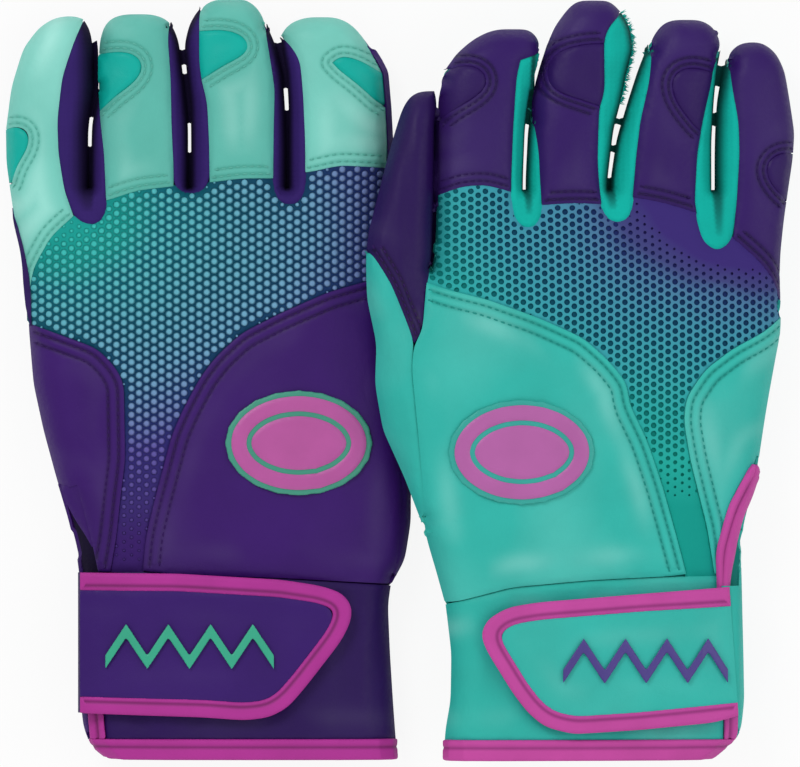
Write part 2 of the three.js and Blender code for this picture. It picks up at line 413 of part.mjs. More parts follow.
// One glove: its shares, the hand it is for, the rise of its thumb and its colours
function glove(shares, hand, rise_of_thumb, colours) {
  const group = new THREE.Group();
  group.name = `${hand}_glove`;
  const add = (name, solid, colour, roughness) => {
    const material = new THREE.MeshStandardMaterial({ color: colour, roughness, metalness: 0 });
    const mesh = new THREE.Mesh(largestBody(solid), material);
    mesh.name = `${hand}_${name}`;
    group.add(mesh);
  };
  const form = (grow, mouth) => {
    const fingers = Object.values(shares.fingers)
      .map((stations) => loft(stations, round_back_shares, finger_rise, grow, 0));
    const thumb = loft(shares.thumb, round_back_shares, rise_of_thumb, grow, 0);
    return [thumb, ...fingers].reduce((all, finger) => all.add(finger), bodyForm(grow, mouth));
  };
  const bodyForm = (grow, mouth) => loft(shares.body, broad_back_shares, hand_rise, grow, mouth);
  const area = (outline) => prism(outline.map(place));
  const margin = (outline) => prism(grown(outline.map(place), seam_gap));
  const layer = (low, high) => bodyForm(high, mouth_run).subtract(bodyForm(low, 2 * mouth_run)).intersect(half(1));

  // Whole leather skin, cut along the side seam and before the hem
  const skin = form(0, 0).subtract(form(-leather_wall, mouth_run));
  const body_end = shares.hem - seam_gap / sheet_side;
  const above_hem = skin.intersect(beyond(body_end, 1));
  const back = above_hem.intersect(half(1));
  const front = above_hem.intersect(half(-1));
  const names = ['index', 'middle', 'ring', 'pinky'];

  // Fingers: knuckle windows that run out at one side, the tops around them, and the gussets between
  for (const name of names) {
    const finger = back.intersect(area(shares.finger_tops[name]));
    add(`${name}_knuckle_insert`, finger.intersect(area(shares.windows[name])), colours.insert, 0.6);
    add(`${name}_finger_top`, finger.subtract(margin(shares.windows[name])), colours.finger, 0.55);
  }
  const tops = names.map((name) => margin(shares.finger_tops[name])).reduce((all, top) => all.add(top));
  for (const [name, outline] of Object.entries(shares.gussets)) {
    add(`${name}_gusset`, back.intersect(area(outline)).subtract(tops), colours.gusset, 0.6);
  }

  // Thumb and the palm leather that wraps up beside it
  add('thumb_back', back.intersect(area(shares.thumb_back)), colours.thumb, 0.55);
  const thumb_margin = margin(shares.thumb_back);
  const slit_path = shares.slit.map(place);
  const slit_strip = strip(slit_path, binding_width);
  const slit_margin = prism(grown(slit_strip, seam_gap));
  const dorsal_margin = margin(shares.dorsal);
  const side = back.intersect(area(shares.thumb_side)).subtract(thumb_margin).subtract(dorsal_margin);
  add('thumb_side_panel', side, colours.palm, 0.55);
  add('dorsal_panel', back.intersect(area(shares.dorsal)).subtract(thumb_margin), colours.dorsal, 0.55);
  const pinky_side = back.intersect(area(shares.pinky_side)).subtract(slit_margin).subtract(tops);
  add('pinky_side_panel', pinky_side, colours.dorsal, 0.55);
  add('slit_binding', back.intersect(prism(slit_strip)), magenta, 0.7);
  const pinky_margin = margin(shares.pinky_side);
  const side_margin = margin(shares.thumb_side);
  const strip_area = back.intersect(area(shares.palm_strip));
  add('palm_side_strip', strip_area.subtract(slit_margin).subtract(pinky_margin), colours.palm, 0.55);
  const cuff_area = back.intersect(area(shares.cuff)).subtract(slit_margin);
  add('cuff_back', cuff_area.subtract(dorsal_margin).subtract(side_margin), colours.cuff, 0.75);

  // Net panel fills what is left of the back
  const gussets = Object.values(shares.gussets).map(margin);
  const around = [tops, ...gussets, thumb_margin, dorsal_margin, pinky_margin, side_margin];
  const net = around.reduce((rest, cut) => rest.subtract(cut), back.intersect(area(shares.mesh)));
  add('back_mesh', net, net_blue, 0.8);

  // Palm side: palm with the finger fronts, thumb front and cuff front
  const cuff_start = shares.wrist + seam_gap / sheet_side;
  add('thumb_palm', front.intersect(area(shares.thumb_back)), colours.palm, 0.55);
  add('palm', front.intersect(beyond(shares.wrist, 1)).subtract(thumb_margin), colours.palm, 0.55);
  add('cuff_palm', front.intersect(beyond(cuff_start, -1)), colours.cuff, 0.75);

  // Hem binding folded over the edge of the cuff mouth
  const hem_ring = bodyForm(binding_lip, 0).subtract(bodyForm(-leather_wall - binding_lip, mouth_run));
  add('hem_binding', hem_ring.intersect(beyond(shares.hem, -1)), magenta, 0.7);

  // Closure: loop pad on the cuff, strap with its binding, hook pad and raised motif
  const root = place([shares.strap_root, 0])[0];
  const tip = Math.sign(place(shares.patch)[0] - root);
  const strap_outline = shares.strap.map(place);
  const inside = (inset) => grown(strap_outline, -inset).map(([x, y], k) => {
    const at_root = k === 0 || k === strap_outline.length - 1;
    return at_root ? [x - tip * 2 * inset, y] : [x, y];
  });
  const strap_field = prism(inside(binding_width + seam_gap)).intersect(prism(strap_outline));
  const free_end = Math.max(...strap_outline.map(([x]) => tip * x));
  const pad_end = free_end - 2 * binding_width;
  const pads = new THREE.BoxGeometry(hook_length, cutter_size, cutter_height);
  pads.translate(tip * (pad_end - hook_length / 2), 0, 0);
  const pad_area = strap_field.intersect(solidOf(pads));
  add('loop_pad', layer(loop_low, loop_high).intersect(pad_area), colours.cuff, 0.95);
  add('hook_pad', layer(hook_low, hook_high).intersect(pad_area), colours.strap, 0.9);
  add('strap', layer(strap_low, strap_high).intersect(strap_field), colours.strap, 0.75);
  const band = layer(strap_low - layer_gap / 2, strap_high + layer_gap / 2).intersect(prism(strap_outline));
  add('strap_binding', band.subtract(prism(inside(binding_width))), magenta, 0.7);
  const wave = zigzag(shares.motif, motif_length, motif_height, motif_stroke);
  add('strap_motif', layer(motif_low, motif_high).intersect(prism(wave)), colours.motif, 0.6);
  const badge = prism(oval(shares.patch, patch_width, patch_height));
  add('back_patch', layer(layer_gap, patch_high).intersect(badge), magenta, 0.6);
  return group;
}

const left = glove(left_shares, 'left', flat_thumb_rise,
  { finger: mint, insert: turquoise, gusset: deep_violet, thumb: mint, palm: violet, dorsal: violet,
    cuff: deep_violet, strap: violet, motif: turquoise });
const right = glove(right_shares, 'right', thumb_rise,
  { finger: violet, insert: violet, gusset: turquoise, thumb: violet, palm: sea_green, dorsal: sea_green,
    cuff: sea_green, strap: sea_green, motif: violet });

// The right glove leans with its thumb side on the left glove's back, and the pair stands on the floor
const far = Math.max(...right_shares.fingers.pinky.map(([, , edge]) => edge)) * sheet_side;
const near = Math.min(...right_shares.thumb.map(([, edge]) => edge)) * sheet_side;
const rest_height = rest_share * (palm_depth + hand_rise);
const lean = new THREE.Matrix4().makeRotationY(Math.asin(rest_height / (far - near)));
for (const mesh of right.children) mesh.geometry.applyMatrix4(lean);
const low = new THREE.Box3().setFromObject(right).min.z - new THREE.Box3().setFromObject(left).min.z;
const shift = far - new THREE.Box3().setFromObject(right).max.x;
for (const mesh of right.children) mesh.geometry.translate(shift, 0, -low);

const pair = new THREE.Group();
pair.name = 'batting_gloves';
pair.add(...left.children, ...right.children);
const box = new THREE.Box3().setFromObject(pair);
const centre = box.getCenter(new THREE.Vector3());
for (const mesh of pair.children) mesh.geometry.translate(-centre.x, -centre.y, -box.min.z);

export default pair;
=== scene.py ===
import functools
import math

import bmesh
import bpy
import numpy as np
from mathutils import Matrix, Vector, noise
from mathutils.bvhtree import BVHTree
from mathutils.geometry import delaunay_2d_cdt
from mathutils.kdtree import KDTree


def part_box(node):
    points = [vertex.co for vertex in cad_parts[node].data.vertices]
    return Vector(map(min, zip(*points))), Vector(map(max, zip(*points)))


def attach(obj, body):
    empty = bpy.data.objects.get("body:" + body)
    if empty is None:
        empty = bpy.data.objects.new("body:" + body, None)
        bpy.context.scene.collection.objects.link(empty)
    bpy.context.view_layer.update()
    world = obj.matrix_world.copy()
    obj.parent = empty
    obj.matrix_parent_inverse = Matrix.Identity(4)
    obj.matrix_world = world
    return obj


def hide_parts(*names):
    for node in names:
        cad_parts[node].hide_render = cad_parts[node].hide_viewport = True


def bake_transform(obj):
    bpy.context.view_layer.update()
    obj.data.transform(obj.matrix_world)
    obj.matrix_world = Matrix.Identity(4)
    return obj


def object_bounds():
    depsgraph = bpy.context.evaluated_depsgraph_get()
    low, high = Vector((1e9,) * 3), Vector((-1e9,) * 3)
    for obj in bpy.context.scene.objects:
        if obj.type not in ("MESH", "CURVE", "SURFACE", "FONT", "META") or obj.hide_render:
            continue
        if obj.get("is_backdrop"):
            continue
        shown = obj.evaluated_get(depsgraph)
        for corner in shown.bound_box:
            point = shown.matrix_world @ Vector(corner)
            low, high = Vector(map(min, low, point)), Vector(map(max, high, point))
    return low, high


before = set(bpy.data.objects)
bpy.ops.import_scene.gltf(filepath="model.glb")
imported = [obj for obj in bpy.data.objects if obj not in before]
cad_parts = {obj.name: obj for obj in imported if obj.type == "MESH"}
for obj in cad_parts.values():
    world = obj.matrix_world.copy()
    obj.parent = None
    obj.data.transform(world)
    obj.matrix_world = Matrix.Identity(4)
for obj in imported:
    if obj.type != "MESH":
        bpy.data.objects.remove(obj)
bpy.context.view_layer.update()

# Camera and studio
# The pair is seen from straight above. Large soft lamps stand round a white table, so the colours
# render as they are written and only a faint shadow stays under the gloves.
SCENE = bpy.context.scene
SCENE.view_settings.view_transform = "Standard"
VIEW_WIDTH = 0.2278
VIEW_CENTRE = Vector((-0.0001, -0.0012, 0.012))
CAMERA_DISTANCE = 4.0
bpy.ops.object.camera_add(location=VIEW_CENTRE + Vector((0, 0, CAMERA_DISTANCE)), rotation=(0, 0, 0))
camera = bpy.context.object
camera.data.sensor_width = 36
camera.data.lens = camera.data.sensor_width * CAMERA_DISTANCE / VIEW_WIDTH
SCENE.camera = camera


def linear(code):
    """An sRGB hex colour as the linear values that Blender's sockets take."""
    parts = [int(code[k : k + 2], 16) / 255 for k in (1, 3, 5)]
    return [c / 12.92 if c <= 0.04045 else ((c + 0.055) / 1.055) ** 2.4 for c in parts] + [1.0]


def lamp(name, place, size, power):
    bpy.ops.object.light_add(type="AREA", location=place)
    light = bpy.context.object
    light.name = name
    light.data.size = size
    light.data.energy = power
    light.rotation_euler = (-Vector(place)).to_track_quat("-Z", "Y").to_euler()
    return light


lamp("key_lamp", (-0.55, 0.75, 1.0), 0.5, 6.0)
lamp("fill_lamp", (0.9, 0.1, 0.8), 0.9, 3.0)
lamp("front_lamp", (-0.1, -0.9, 0.7), 0.8, 2.0)


def add(tree, kind, values=None, **settings):
    """Adds a node: settings are its options, values its sockets, each a value or a socket to link from."""
    node = tree.nodes.new(kind)
    for key, value in settings.items():
        setattr(node, key, value)
    for key, value in (values or {}).items():
        socket = node.inputs[key]
        if isinstance(value, bpy.types.NodeSocket):
            tree.links.new(value, socket)
        else:
            socket.default_value = value
    return node


def blank(name):
    """A material with nothing in its node tree."""
    material = bpy.data.materials.new(name)
    material.use_nodes = True
    material.node_tree.nodes.clear()
    return material, material.node_tree


world = bpy.data.worlds.new("studio")
SCENE.world = world
world.use_nodes = True
world.node_tree.nodes.clear()
soft = add(world.node_tree, "ShaderNodeBackground", {"Color": (1, 1, 1, 1), "Strength": 0.52})
pure = add(world.node_tree, "ShaderNodeBackground", {"Color": (1, 1, 1, 1), "Strength": 1.0})
path = add(world.node_tree, "ShaderNodeLightPath")
seen = add(
    world.node_tree, "ShaderNodeMixShader",
    {0: path.outputs["Is Camera Ray"], 1: soft.outputs[0], 2: pure.outputs[0]}
)
add(world.node_tree, "ShaderNodeOutputWorld", {"Surface": seen.outputs[0]})

bpy.ops.mesh.primitive_plane_add(size=6, location=(0, 0, -0.0002))
floor = bpy.context.object
floor.name = "table"
paper, tree = blank("white_paper_table")
paint = add(tree, "ShaderNodeBsdfDiffuse", {"Color": (0.9, 0.9, 0.9, 1)})
glow = add(tree, "ShaderNodeEmission", {"Color": (1, 1, 1, 1), "Strength": 1.0})
path = add(tree, "ShaderNodeLightPath")
part_white = add(tree, "ShaderNodeMixShader", {0: 0.9, 1: paint.outputs[0], 2: glow.outputs[0]})
shown = add(
    tree, "ShaderNodeMixShader",
    {0: path.outputs["Is Camera Ray"], 1: paint.outputs[0], 2: part_white.outputs[0]}
)
add(tree, "ShaderNodeOutputMaterial", {"Surface": shown.outputs[0]})
floor.data.materials.append(paper)
floor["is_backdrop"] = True

# Filled hands
# Each glove keeps the shape of the hand it is packed over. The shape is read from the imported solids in
# that glove's own level frame, smoothed, and every panel of leather or cloth is laid over it.
HANDS = ("left", "right")
FINGERS = ("index", "middle", "ring", "pinky")
GUSSETS = ("index_middle", "middle_ring", "ring_pinky")
GRID = 0.001
SMOOTHING = 1.8
SIDE_ROUND = 0.0032
SIDE_SNAP = 0.00025
SIDE_RINGS = (0.0004, 0.0009, 0.0016)


def merged(node):
    """The CAD node's mesh with its loose triangles joined."""
    shell = bmesh.new()
    shell.from_mesh(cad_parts[node].data)
    bmesh.ops.remove_doubles(shell, verts=shell.verts, dist=1e-6)
    shell.normal_update()
    return shell


def level_frame(hand):
    """Where the hand's own level frame lies: its palm's flat is the frame's floor."""
    shell = merged(f"{hand}_palm")
    flat = max((face for face in shell.faces if face.normal.z < -0.9), key=lambda face: face.calc_area())
    lean = math.atan2(-flat.normal.x, -flat.normal.z)
    spot = flat.calc_center_median()
    place = (
        Matrix.Translation(spot) @ Matrix.Rotation(lean, 4, "Y") @ Matrix.Translation((-spot.x, -spot.y, 0))
    )
    shell.free()
    return place


class Relief:
    """A smoothed height map of some CAD nodes, from above (side 1) or below (side -1)."""

    def __init__(self, hand, parts, side):
        tree_verts, tree_faces = [], []
        for part in parts:
            shell = merged(f"{hand}_{part}")
            shell.transform(LEVEL[hand].inverted())
            first = len(tree_verts)
            shell.verts.index_update()
            tree_verts += [v.co.copy() for v in shell.verts]
            tree_faces += [[first + v.index for v in face.verts] for face in shell.faces]
            shell.free()
        tree = BVHTree.FromPolygons(tree_verts, tree_faces)
        low = np.array([min(v[k] for v in tree_verts) for k in (0, 1)]) - 6 * GRID
        high = np.array([max(v[k] for v in tree_verts) for k in (0, 1)]) + 6 * GRID
        self.low = low
        count = ((high - low) / GRID).astype(int) + 1
        heights = np.full(count, np.nan)
        for i in range(count[0]):
            for j in range(count[1]):
                start = Vector((low[0] + i * GRID, low[1] + j * GRID, side * 0.2))
                hit = tree.ray_cast(start, Vector((0, 0, -side)))[0]
                if hit is not None:
                    heights[i, j] = hit.z
        reach = int(3 * SMOOTHING)
        kernel = np.exp(-0.5 * (np.arange(-reach, reach + 1) / SMOOTHING) ** 2)
        known = ~np.isnan(heights)
        total, weight = np.where(known, heights, 0.0), known.astype(float)
        for axis in (0, 1):
            total = np.apply_along_axis(lambda row: np.convolve(row, kernel, "same"), axis, total)
            weight = np.apply_along_axis(lambda row: np.convolve(row, kernel, "same"), axis, weight)
        self.map = total / np.maximum(weight, 1e-9)
        self.map[weight < 1e-6] = np.nan
        fallback = np.nanmin(self.map) if side > 0 else np.nanmax(self.map)
        self.map[np.isnan(self.map)] = fallback

    def at(self, x, y):
        """Heights at arrays of points, between the grid's points."""
        u = np.clip((x - self.low[0]) / GRID, 0, self.map.shape[0] - 1.001)
        v = np.clip((y - self.low[1]) / GRID, 0, self.map.shape[1] - 1.001)
        i, j = u.astype(int), v.astype(int)
        u, v = u - i, v - j
        m = self.map
        return (
            (m[i, j] * (1 - u) + m[i + 1, j] * u) * (1 - v)
            + (m[i, j + 1] * (1 - u) + m[i + 1, j + 1] * u) * v
        )


BACK_PARTS = [f"{name}_finger_top" for name in FINGERS] + [f"{name}_knuckle_insert" for name in FINGERS]
BACK_PARTS += [f"{name}_gusset" for name in GUSSETS]
BACK_PARTS += [
    "thumb_back", "thumb_side_panel", "dorsal_panel", "pinky_side_panel", "palm_side_strip", "slit_binding"
]
BACK_PARTS += ["cuff_back", "back_mesh"]
PALM_PARTS = ["palm", "thumb_palm", "cuff_palm"]
STRAP_PARTS = ["strap", "strap_binding"]
LEVEL = {hand: level_frame(hand) for hand in HANDS}
BACK = {hand: Relief(hand, BACK_PARTS, 1) for hand in HANDS}
PALM = {hand: Relief(hand, PALM_PARTS, -1) for hand in HANDS}
STRAP = {hand: Relief(hand, STRAP_PARTS, 1) for hand in HANDS}


def local_shell(hand, part):
    shell = merged(f"{hand}_{part}")
    shell.transform(LEVEL[hand].inverted())
    shell.normal_update()
    return shell


def points_tree(points):
    tree = KDTree(max(1, len(points)))
    for k, point in enumerate(points):
        tree.insert((point[0], point[1], 0), k)
    tree.balance()
    return tree


def nearest(tree, x, y):
    """Distances in plan from arrays of points to a tree of points."""
    return np.array([tree.find((a, b, 0))[2] for a, b in zip(x, y)])


ON_EDGE = 0.00045
NEAR_EDGE = 0.0009


def side_edge(hand):
    """Points along the outer edge of the hand in plan, where back and palm meet, and that seam's height."""
    seam = min(v.co.z for v in local_shell(hand, "pinky_side_panel").verts)
    points = []
    for part in BACK_PARTS:
        shell = local_shell(hand, part)
        for edge in shell.edges:
            ends = [v.co for v in edge.verts]
            if max(abs(end.z - seam) for end in ends) > 1e-5 or len(edge.link_faces) != 2:
                continue
            under = [face for face in edge.link_faces if face.normal.z < -0.99]
            tip = {"top": 0.5, "gusset": 2.0}.get(part.split("_")[-1], 0.999)
            outer = [face for face in edge.link_faces if face.normal.z > 0.02 or face.normal.y > tip]
            if len(under) == 1 and len(outer) == 1:
                steps = max(1, int((ends[0] - ends[1]).length / 0.0003))
                points += [tuple(ends[0].lerp(ends[1], k / steps))[:2] for k in range(steps + 1)]
        shell.free()
    rim = points_tree([p for part in PALM_PARTS for loop in outline(hand, part, -1, 0.0003) for p in loop])
    return points_tree([p for p in points if rim.find((p[0], p[1], 0))[2] < ON_EDGE]), seam


def bend_at(points, k):
    """How sharply a closed outline turns at one of its points."""
    into = points[k] - points[k - 1]
    out = points[(k + 1) % len(points)] - points[k]
    return abs(math.atan2(into.x * out.y - into.y * out.x, into.dot(out)))


def rounded(points, spacing, corner=math.radians(50), rounds=12):
    """A closed outline with even steps, its stretches between sharp corners smoothed, without the hair-thin
    spikes that it may hold."""
    kept, k = list(points), 0
    while k < len(kept) and len(kept) > 4:
        if (kept[k] - kept[k - 1]).length < 1.5e-4 or bend_at(kept, k) > math.radians(165):
            kept.pop(k)
            k = max(0, k - 2)
        else:
            k += 1
    count = len(kept)
    sharp = [k for k in range(count) if bend_at(kept, k) > corner] or [0]
    result = []
    for first, last in zip(sharp, sharp[1:] + [sharp[0] + count]):
        run = [kept[k % count] for k in range(first, last + 1)]
        even = [run[0]]
        for a, b in zip(run, run[1:]):
            steps = max(1, round((b - a).length / spacing))
            even += [a.lerp(b, k / steps) for k in range(1, steps + 1)]
        for _ in range(rounds):
            even = (
                [even[0]] + [(a + 2 * b + c) / 4 for a, b, c in zip(even, even[1:], even[2:])] + [even[-1]]
            )
        result += even[:-1]
    return result


@functools.lru_cache(maxsize=None)
def outline(hand, part, side=1, spacing=0.0008):
    """The plan outline of a CAD node's outer skin and its holes, longest first."""
    shell = local_shell(hand, part)
    links = {}
    for edge in shell.edges:
        outer = [face.normal.z * side > 0.02 for face in edge.link_faces]
        if outer.count(True) == 1:
            a, b = edge.verts
            links.setdefault(a, []).append(b)
            links.setdefault(b, []).append(a)
    loops = []
    while links:
        start = next(iter(links))
        loop, here = [start], start
        while links.get(here):
            after = links[here].pop()
            links[after].remove(here)
            here = after
            if here is start:
                break
            loop.append(here)
        for vert in [v for v, others in links.items() if not others]:
            del links[vert]
        if len(loop) > 2:
            loops.append([Vector((v.co.x, v.co.y)) for v in loop])
    shell.free()
    area = lambda loop: abs(sum(a.x * b.y - b.x * a.y for a, b in zip(loop, loop[1:] + loop[:1]))) / 2
    loops = sorted((loop for loop in loops if area(loop) > 1.2e-5), key=area, reverse=True)
    return [rounded(loop, spacing) for loop in loops]


EDGE = {hand: side_edge(hand) for hand in HANDS}


def at_side(hand, loop):
    """Which points of an outline lie on the hand's side edge, and not on a seam that runs up to it."""
    flags = []
    for k, point in enumerate(loop):
        spot, _, away = EDGE[hand][0].find((point[0], point[1], 0))
        along = (loop[(k + 1) % len(loop)] - loop[k - 1]).normalized()
        toward = (Vector(spot[:2]) - point).normalized()
        flags.append(away < ON_EDGE or (away < NEAR_EDGE and abs(along.dot(toward)) < 0.5))
    return flags


def side_line(hand):
    """The hand's side edge again, as the smoothed outlines of its back panels follow it."""
    points = []
    for part in BACK_PARTS:
        for loop in outline(hand, part):
            flags = at_side(hand, loop)
            for k, point in enumerate(loop):
                after = (k + 1) % len(loop)
                if flags[k] and flags[after]:
                    points += [point.lerp(loop[after], step / 4) for step in range(5)]
    return points_tree(points)


SIDE = {hand: side_line(hand) for hand in HANDS}


def within(loops, x, y):
    """Which of the points lie inside the outline and outside its holes."""
    inside = np.zeros(len(x), bool)
    for loop in loops:
        xs, ys = np.array([p[0] for p in loop]), np.array([p[1] for p in loop])
        for ax, ay, bx, by in zip(xs, ys, np.roll(xs, -1), np.roll(ys, -1)):
            if ay == by:
                continue
            crosses = (ay > y) != (by > y)
            inside ^= crosses & (x < (bx - ax) * (y - ay) / (by - ay) + ax)
    return inside


def shape_mesh(name, hand, loops, spacing, height, side=1, extra=(), fine=None):
    """A sheet over a plan outline: an even net of points, twice as close beside the fine points, lifted
    to its height, in the row's frame."""
    edge_points = [p for loop in loops for p in loop]
    edges, first = [], 0
    for loop in loops:
        edges += [(first + k, first + (k + 1) % len(loop)) for k in range(len(loop))]
        first += len(loop)
    xs = [p[0] for p in edge_points]
    ys = [p[1] for p in edge_points]
    points = [Vector(p[:2]) for p in edge_points] + [Vector(p) for p in extra]
    rims = points_tree(edge_points + [tuple(p) for p in extra])
    for step in (spacing, spacing * 0.42) if fine else (spacing,):
        rows = np.arange(min(ys), max(ys), step * 0.866)
        grid = [
            (x + (k % 2) * step / 2, y)
            for k, y in enumerate(rows)
            for x in np.arange(min(xs), max(xs), step)
        ]
        gx, gy = np.array([g[0] for g in grid]), np.array([g[1] for g in grid])
        keep = within(loops, gx, gy)
        gx, gy = gx[keep], gy[keep]
        if fine:
            beside = nearest(fine, gx, gy) < 0.0056
            chosen = beside if step < spacing else ~beside
            gx, gy = gx[chosen], gy[chosen]
        clear = nearest(rims, gx, gy) > step * 0.55
        points += [Vector(p) for p in zip(gx[clear], gy[clear])]
    made = delaunay_2d_cdt(points, edges, [], 0, 1e-8)
    flat = np.array([tuple(p) for p in made[0]])
    triangles = np.array(made[2])
    middles = flat[triangles].mean(axis=1)
    triangles = triangles[within(loops, middles[:, 0], middles[:, 1])]
    z = height(flat[:, 0], flat[:, 1])
    mesh = bpy.data.meshes.new(name)
    corners = triangles if side > 0 else triangles[:, ::-1]
    mesh.from_pydata([LEVEL[hand] @ Vector((x, y, h)) for (x, y), h in zip(flat, z)], [], corners.tolist())
    mesh.validate()
    piece = bpy.data.objects.new(name, mesh)
    SCENE.collection.objects.link(piece)
    loose = bmesh.new()
    loose.from_mesh(mesh)
    bmesh.ops.delete(loose, geom=[v for v in loose.verts if not v.link_faces], context="VERTS")
    wrong = sum(1 if face.normal.z * side < 0 else -1 for face in loose.faces)
    if wrong > 0:
        bmesh.ops.reverse_faces(loose, faces=loose.faces)
    loose.to_mesh(mesh)
    loose.free()
    return piece


def finish(piece, thickness, material):
    """Gives a sheet its thickness inward, smooths its shading and covers it with its material."""
    bpy.ops.object.select_all(action="DESELECT")
    piece.select_set(True)
    bpy.context.view_layer.objects.active = piece
    if thickness:
        wall = piece.modifiers.new("wall", "SOLIDIFY")
        wall.thickness = thickness
        wall.offset = -1
        bpy.ops.object.modifier_apply(modifier="wall")
    bpy.ops.object.shade_smooth_by_angle(angle=math.radians(50))
    piece.data.materials.clear()
    piece.data.materials.append(material)
    return piece


def side_share(hand, x, y):
    """How far round its side the hand has come: 0 at its edge in plan, 1 where its back is reached."""
    share = np.clip((nearest(SIDE[hand], x, y) - SIDE_SNAP) / SIDE_ROUND, 0, 1)
    return np.sqrt(1 - (1 - share) ** 2)


def over_back(hand, x, y, lift=0.0):
    """Height of the filled hand's back, rounded over at its sides, with an even layer on it."""
    seam = EDGE[hand][1]
    return seam + (BACK[hand].at(x, y) - seam + lift) * side_share(hand, x, y)


def under_palm(hand, x, y, lift=0.0):
    seam = EDGE[hand][1]
    return seam - (seam - PALM[hand].at(x, y) + lift) * side_share(hand, x, y)


SNAP_REACH = 0.0012


def on_side(loop, hand):
    """An outline whose points near the hand's side edge lie on it, as the back's own outlines do."""
    found = [SIDE[hand].find((p[0], p[1], 0)) for p in loop]
    flags = at_side(hand, loop)
    loop = [
        Vector(spot[0][:2]) if flag and spot[2] < SNAP_REACH else p
        for p, spot, flag in zip(loop, found, flags)
    ]
    loop = [p for k, p in enumerate(loop) if (p - loop[k - 1]).length > 2e-4]
    return [(a + 2 * b + c) / 4 for a, b, c in zip(loop[-1:] + loop, loop, loop[1:] + loop[:1])]


def shifted(loops, hand, sewn, side, snapped=False):
    """Outlines moved outward along their sewn stretches and inward along those on the hand's side edge,
    and the rows of points that shape the rounding just inside the latter."""
    result, rings = [], []
    for index, loop in enumerate(loops):
        loop = on_side(loop, hand) if snapped else loop
        area = sum(a.x * b.y - b.x * a.y for a, b in zip(loop, loop[1:] + loop[:1]))
        turn = math.copysign(1, area) * (1 if index == 0 else -1)
        flags = at_side(hand, loop)
        if snapped:
            flags = nearest(SIDE[hand], [p[0] for p in loop], [p[1] for p in loop]) < 0.0005
        moved = []
        for k, point in enumerate(loop):
            along = (loop[(k + 2) % len(loop)] - loop[k - 2]).normalized()
            inward = Vector((-along.y, along.x)) * turn
            here = side(point) if callable(side) else side
            moved.append(point + inward * (here if flags[k] else -sewn))
            if flags[k]:
                rings += [moved[-1] + inward * step for step in SIDE_RINGS]
        if sewn < 0:
            kept = nearest(points_tree(loop), [p[0] for p in moved], [p[1] for p in moved]) > -0.8 * sewn
            moved = [p for p, keep in zip(moved, kept) if keep]
        result.append(moved)
    rings = np.array([tuple(p) for p in rings]).reshape(-1, 2)
    inside = within(result, rings[:, 0], rings[:, 1]) & (
        nearest(outline_tree(result), rings[:, 0], rings[:, 1]) > 0.0003
    )
    return result, [tuple(p) for p in rings[inside]]


def outline_tree(loops):
    return points_tree([p for loop in loops for p in loop])


def seam_points(hand, loops):
    """The points of an outline that are sewn seams, leaving out those on the hand's side edge."""
    return [p for loop in loops for p, side in zip(loop, at_side(hand, loop)) if not side]


def along_run(tree, count, x, y):
    """Distances in plan to a run of points, leaving out what lies past its two ends."""
    found = [tree.find((a, b, 0)) for a, b in zip(x, y)]
    return np.array([9.0 if spot[1] in (0, count - 1) else spot[2] for spot in found])


def rolled(distance, depth, width):
    """How far a sewn edge rolls down at a distance from its seam."""
    return depth * np.clip(1 - distance / width, 0, 1) ** 2


def creases(x, y, seed, across, along, depth):
    """Soft uneven folds, longer one way than the other."""
    return np.array([noise.noise(Vector((a / across, b / along, seed))) for a, b in zip(x, y)]) * depth


# Linings
# A thin knitted lining follows the hand inside the leather, a back sheet and a front sheet for each part
# of the palm. It shows as a dark line down in the seams and inside the mouth of the cuff; its dark colour
# is partly painted shade, standing in for the shade down in those gaps.
LINING_DEPTH = 0.0013
LINING_WALL = 0.0004


def knit(name, code, rib_mm=0.7, depth=0.00012, rough=0.8, painted_fold_shade=None):
    """Stretch jersey: fine crossing ribs, matt, with slow changes of shade, and painted shade deep in its
    folds.
    """
    material, tree = blank(name)
    base = linear(code)[:3]
    if painted_fold_shade:
        fold = add(tree, "ShaderNodeAttribute", attribute_name="fold")
        base = add(
            tree, "ShaderNodeMix", {0: fold.outputs["Fac"], 6: linear(code), 7: linear(painted_fold_shade)},
            data_type="RGBA"
        )
        base = base.outputs[2]
    place = add(tree, "ShaderNodeTexCoord").outputs["Object"]
    slow = add(tree, "ShaderNodeTexNoise", {"Vector": place, "Scale": 60, "Detail": 3})
    tone = add(tree, "ShaderNodeMapRange", {0: slow.outputs["Fac"], 1: 0.3, 2: 0.7, 3: 0.92, 4: 1.08})
    shade = add(tree, "ShaderNodeVectorMath", {0: base, 3: tone.outputs[0]}, operation="SCALE")
    ribs = [
        add(
            tree, "ShaderNodeTexWave", {"Vector": place, "Scale": 157 / rib_mm, "Distortion": 0.6},
            bands_direction=axis,
        )
        for axis in "XY"
    ]
    woven = add(
        tree, "ShaderNodeMath", {0: ribs[0].outputs["Fac"], 1: ribs[1].outputs["Fac"]}, operation="MULTIPLY"
    )
    bump = add(tree, "ShaderNodeBump", {"Height": woven.outputs[0], "Strength": 0.5, "Distance": depth})
    skin = add(
        tree, "ShaderNodeBsdfPrincipled",
        {"Base Color": shade.outputs[0], "Roughness": rough, "IOR": 1.25, "Normal": bump.outputs[0]},
    )
    add(tree, "ShaderNodeOutputMaterial", {"Surface": skin.outputs[0]})
    return material


def cloth(piece, wall, material, body, nodes=()):
    """Gives a sheet its thickness inward and its material, ties it to its body and hides the CAD nodes it
    stands for.
    """
    finish(piece, wall, material)
    if body:
        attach(piece, body)
    if nodes:
        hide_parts(*nodes)
    return piece
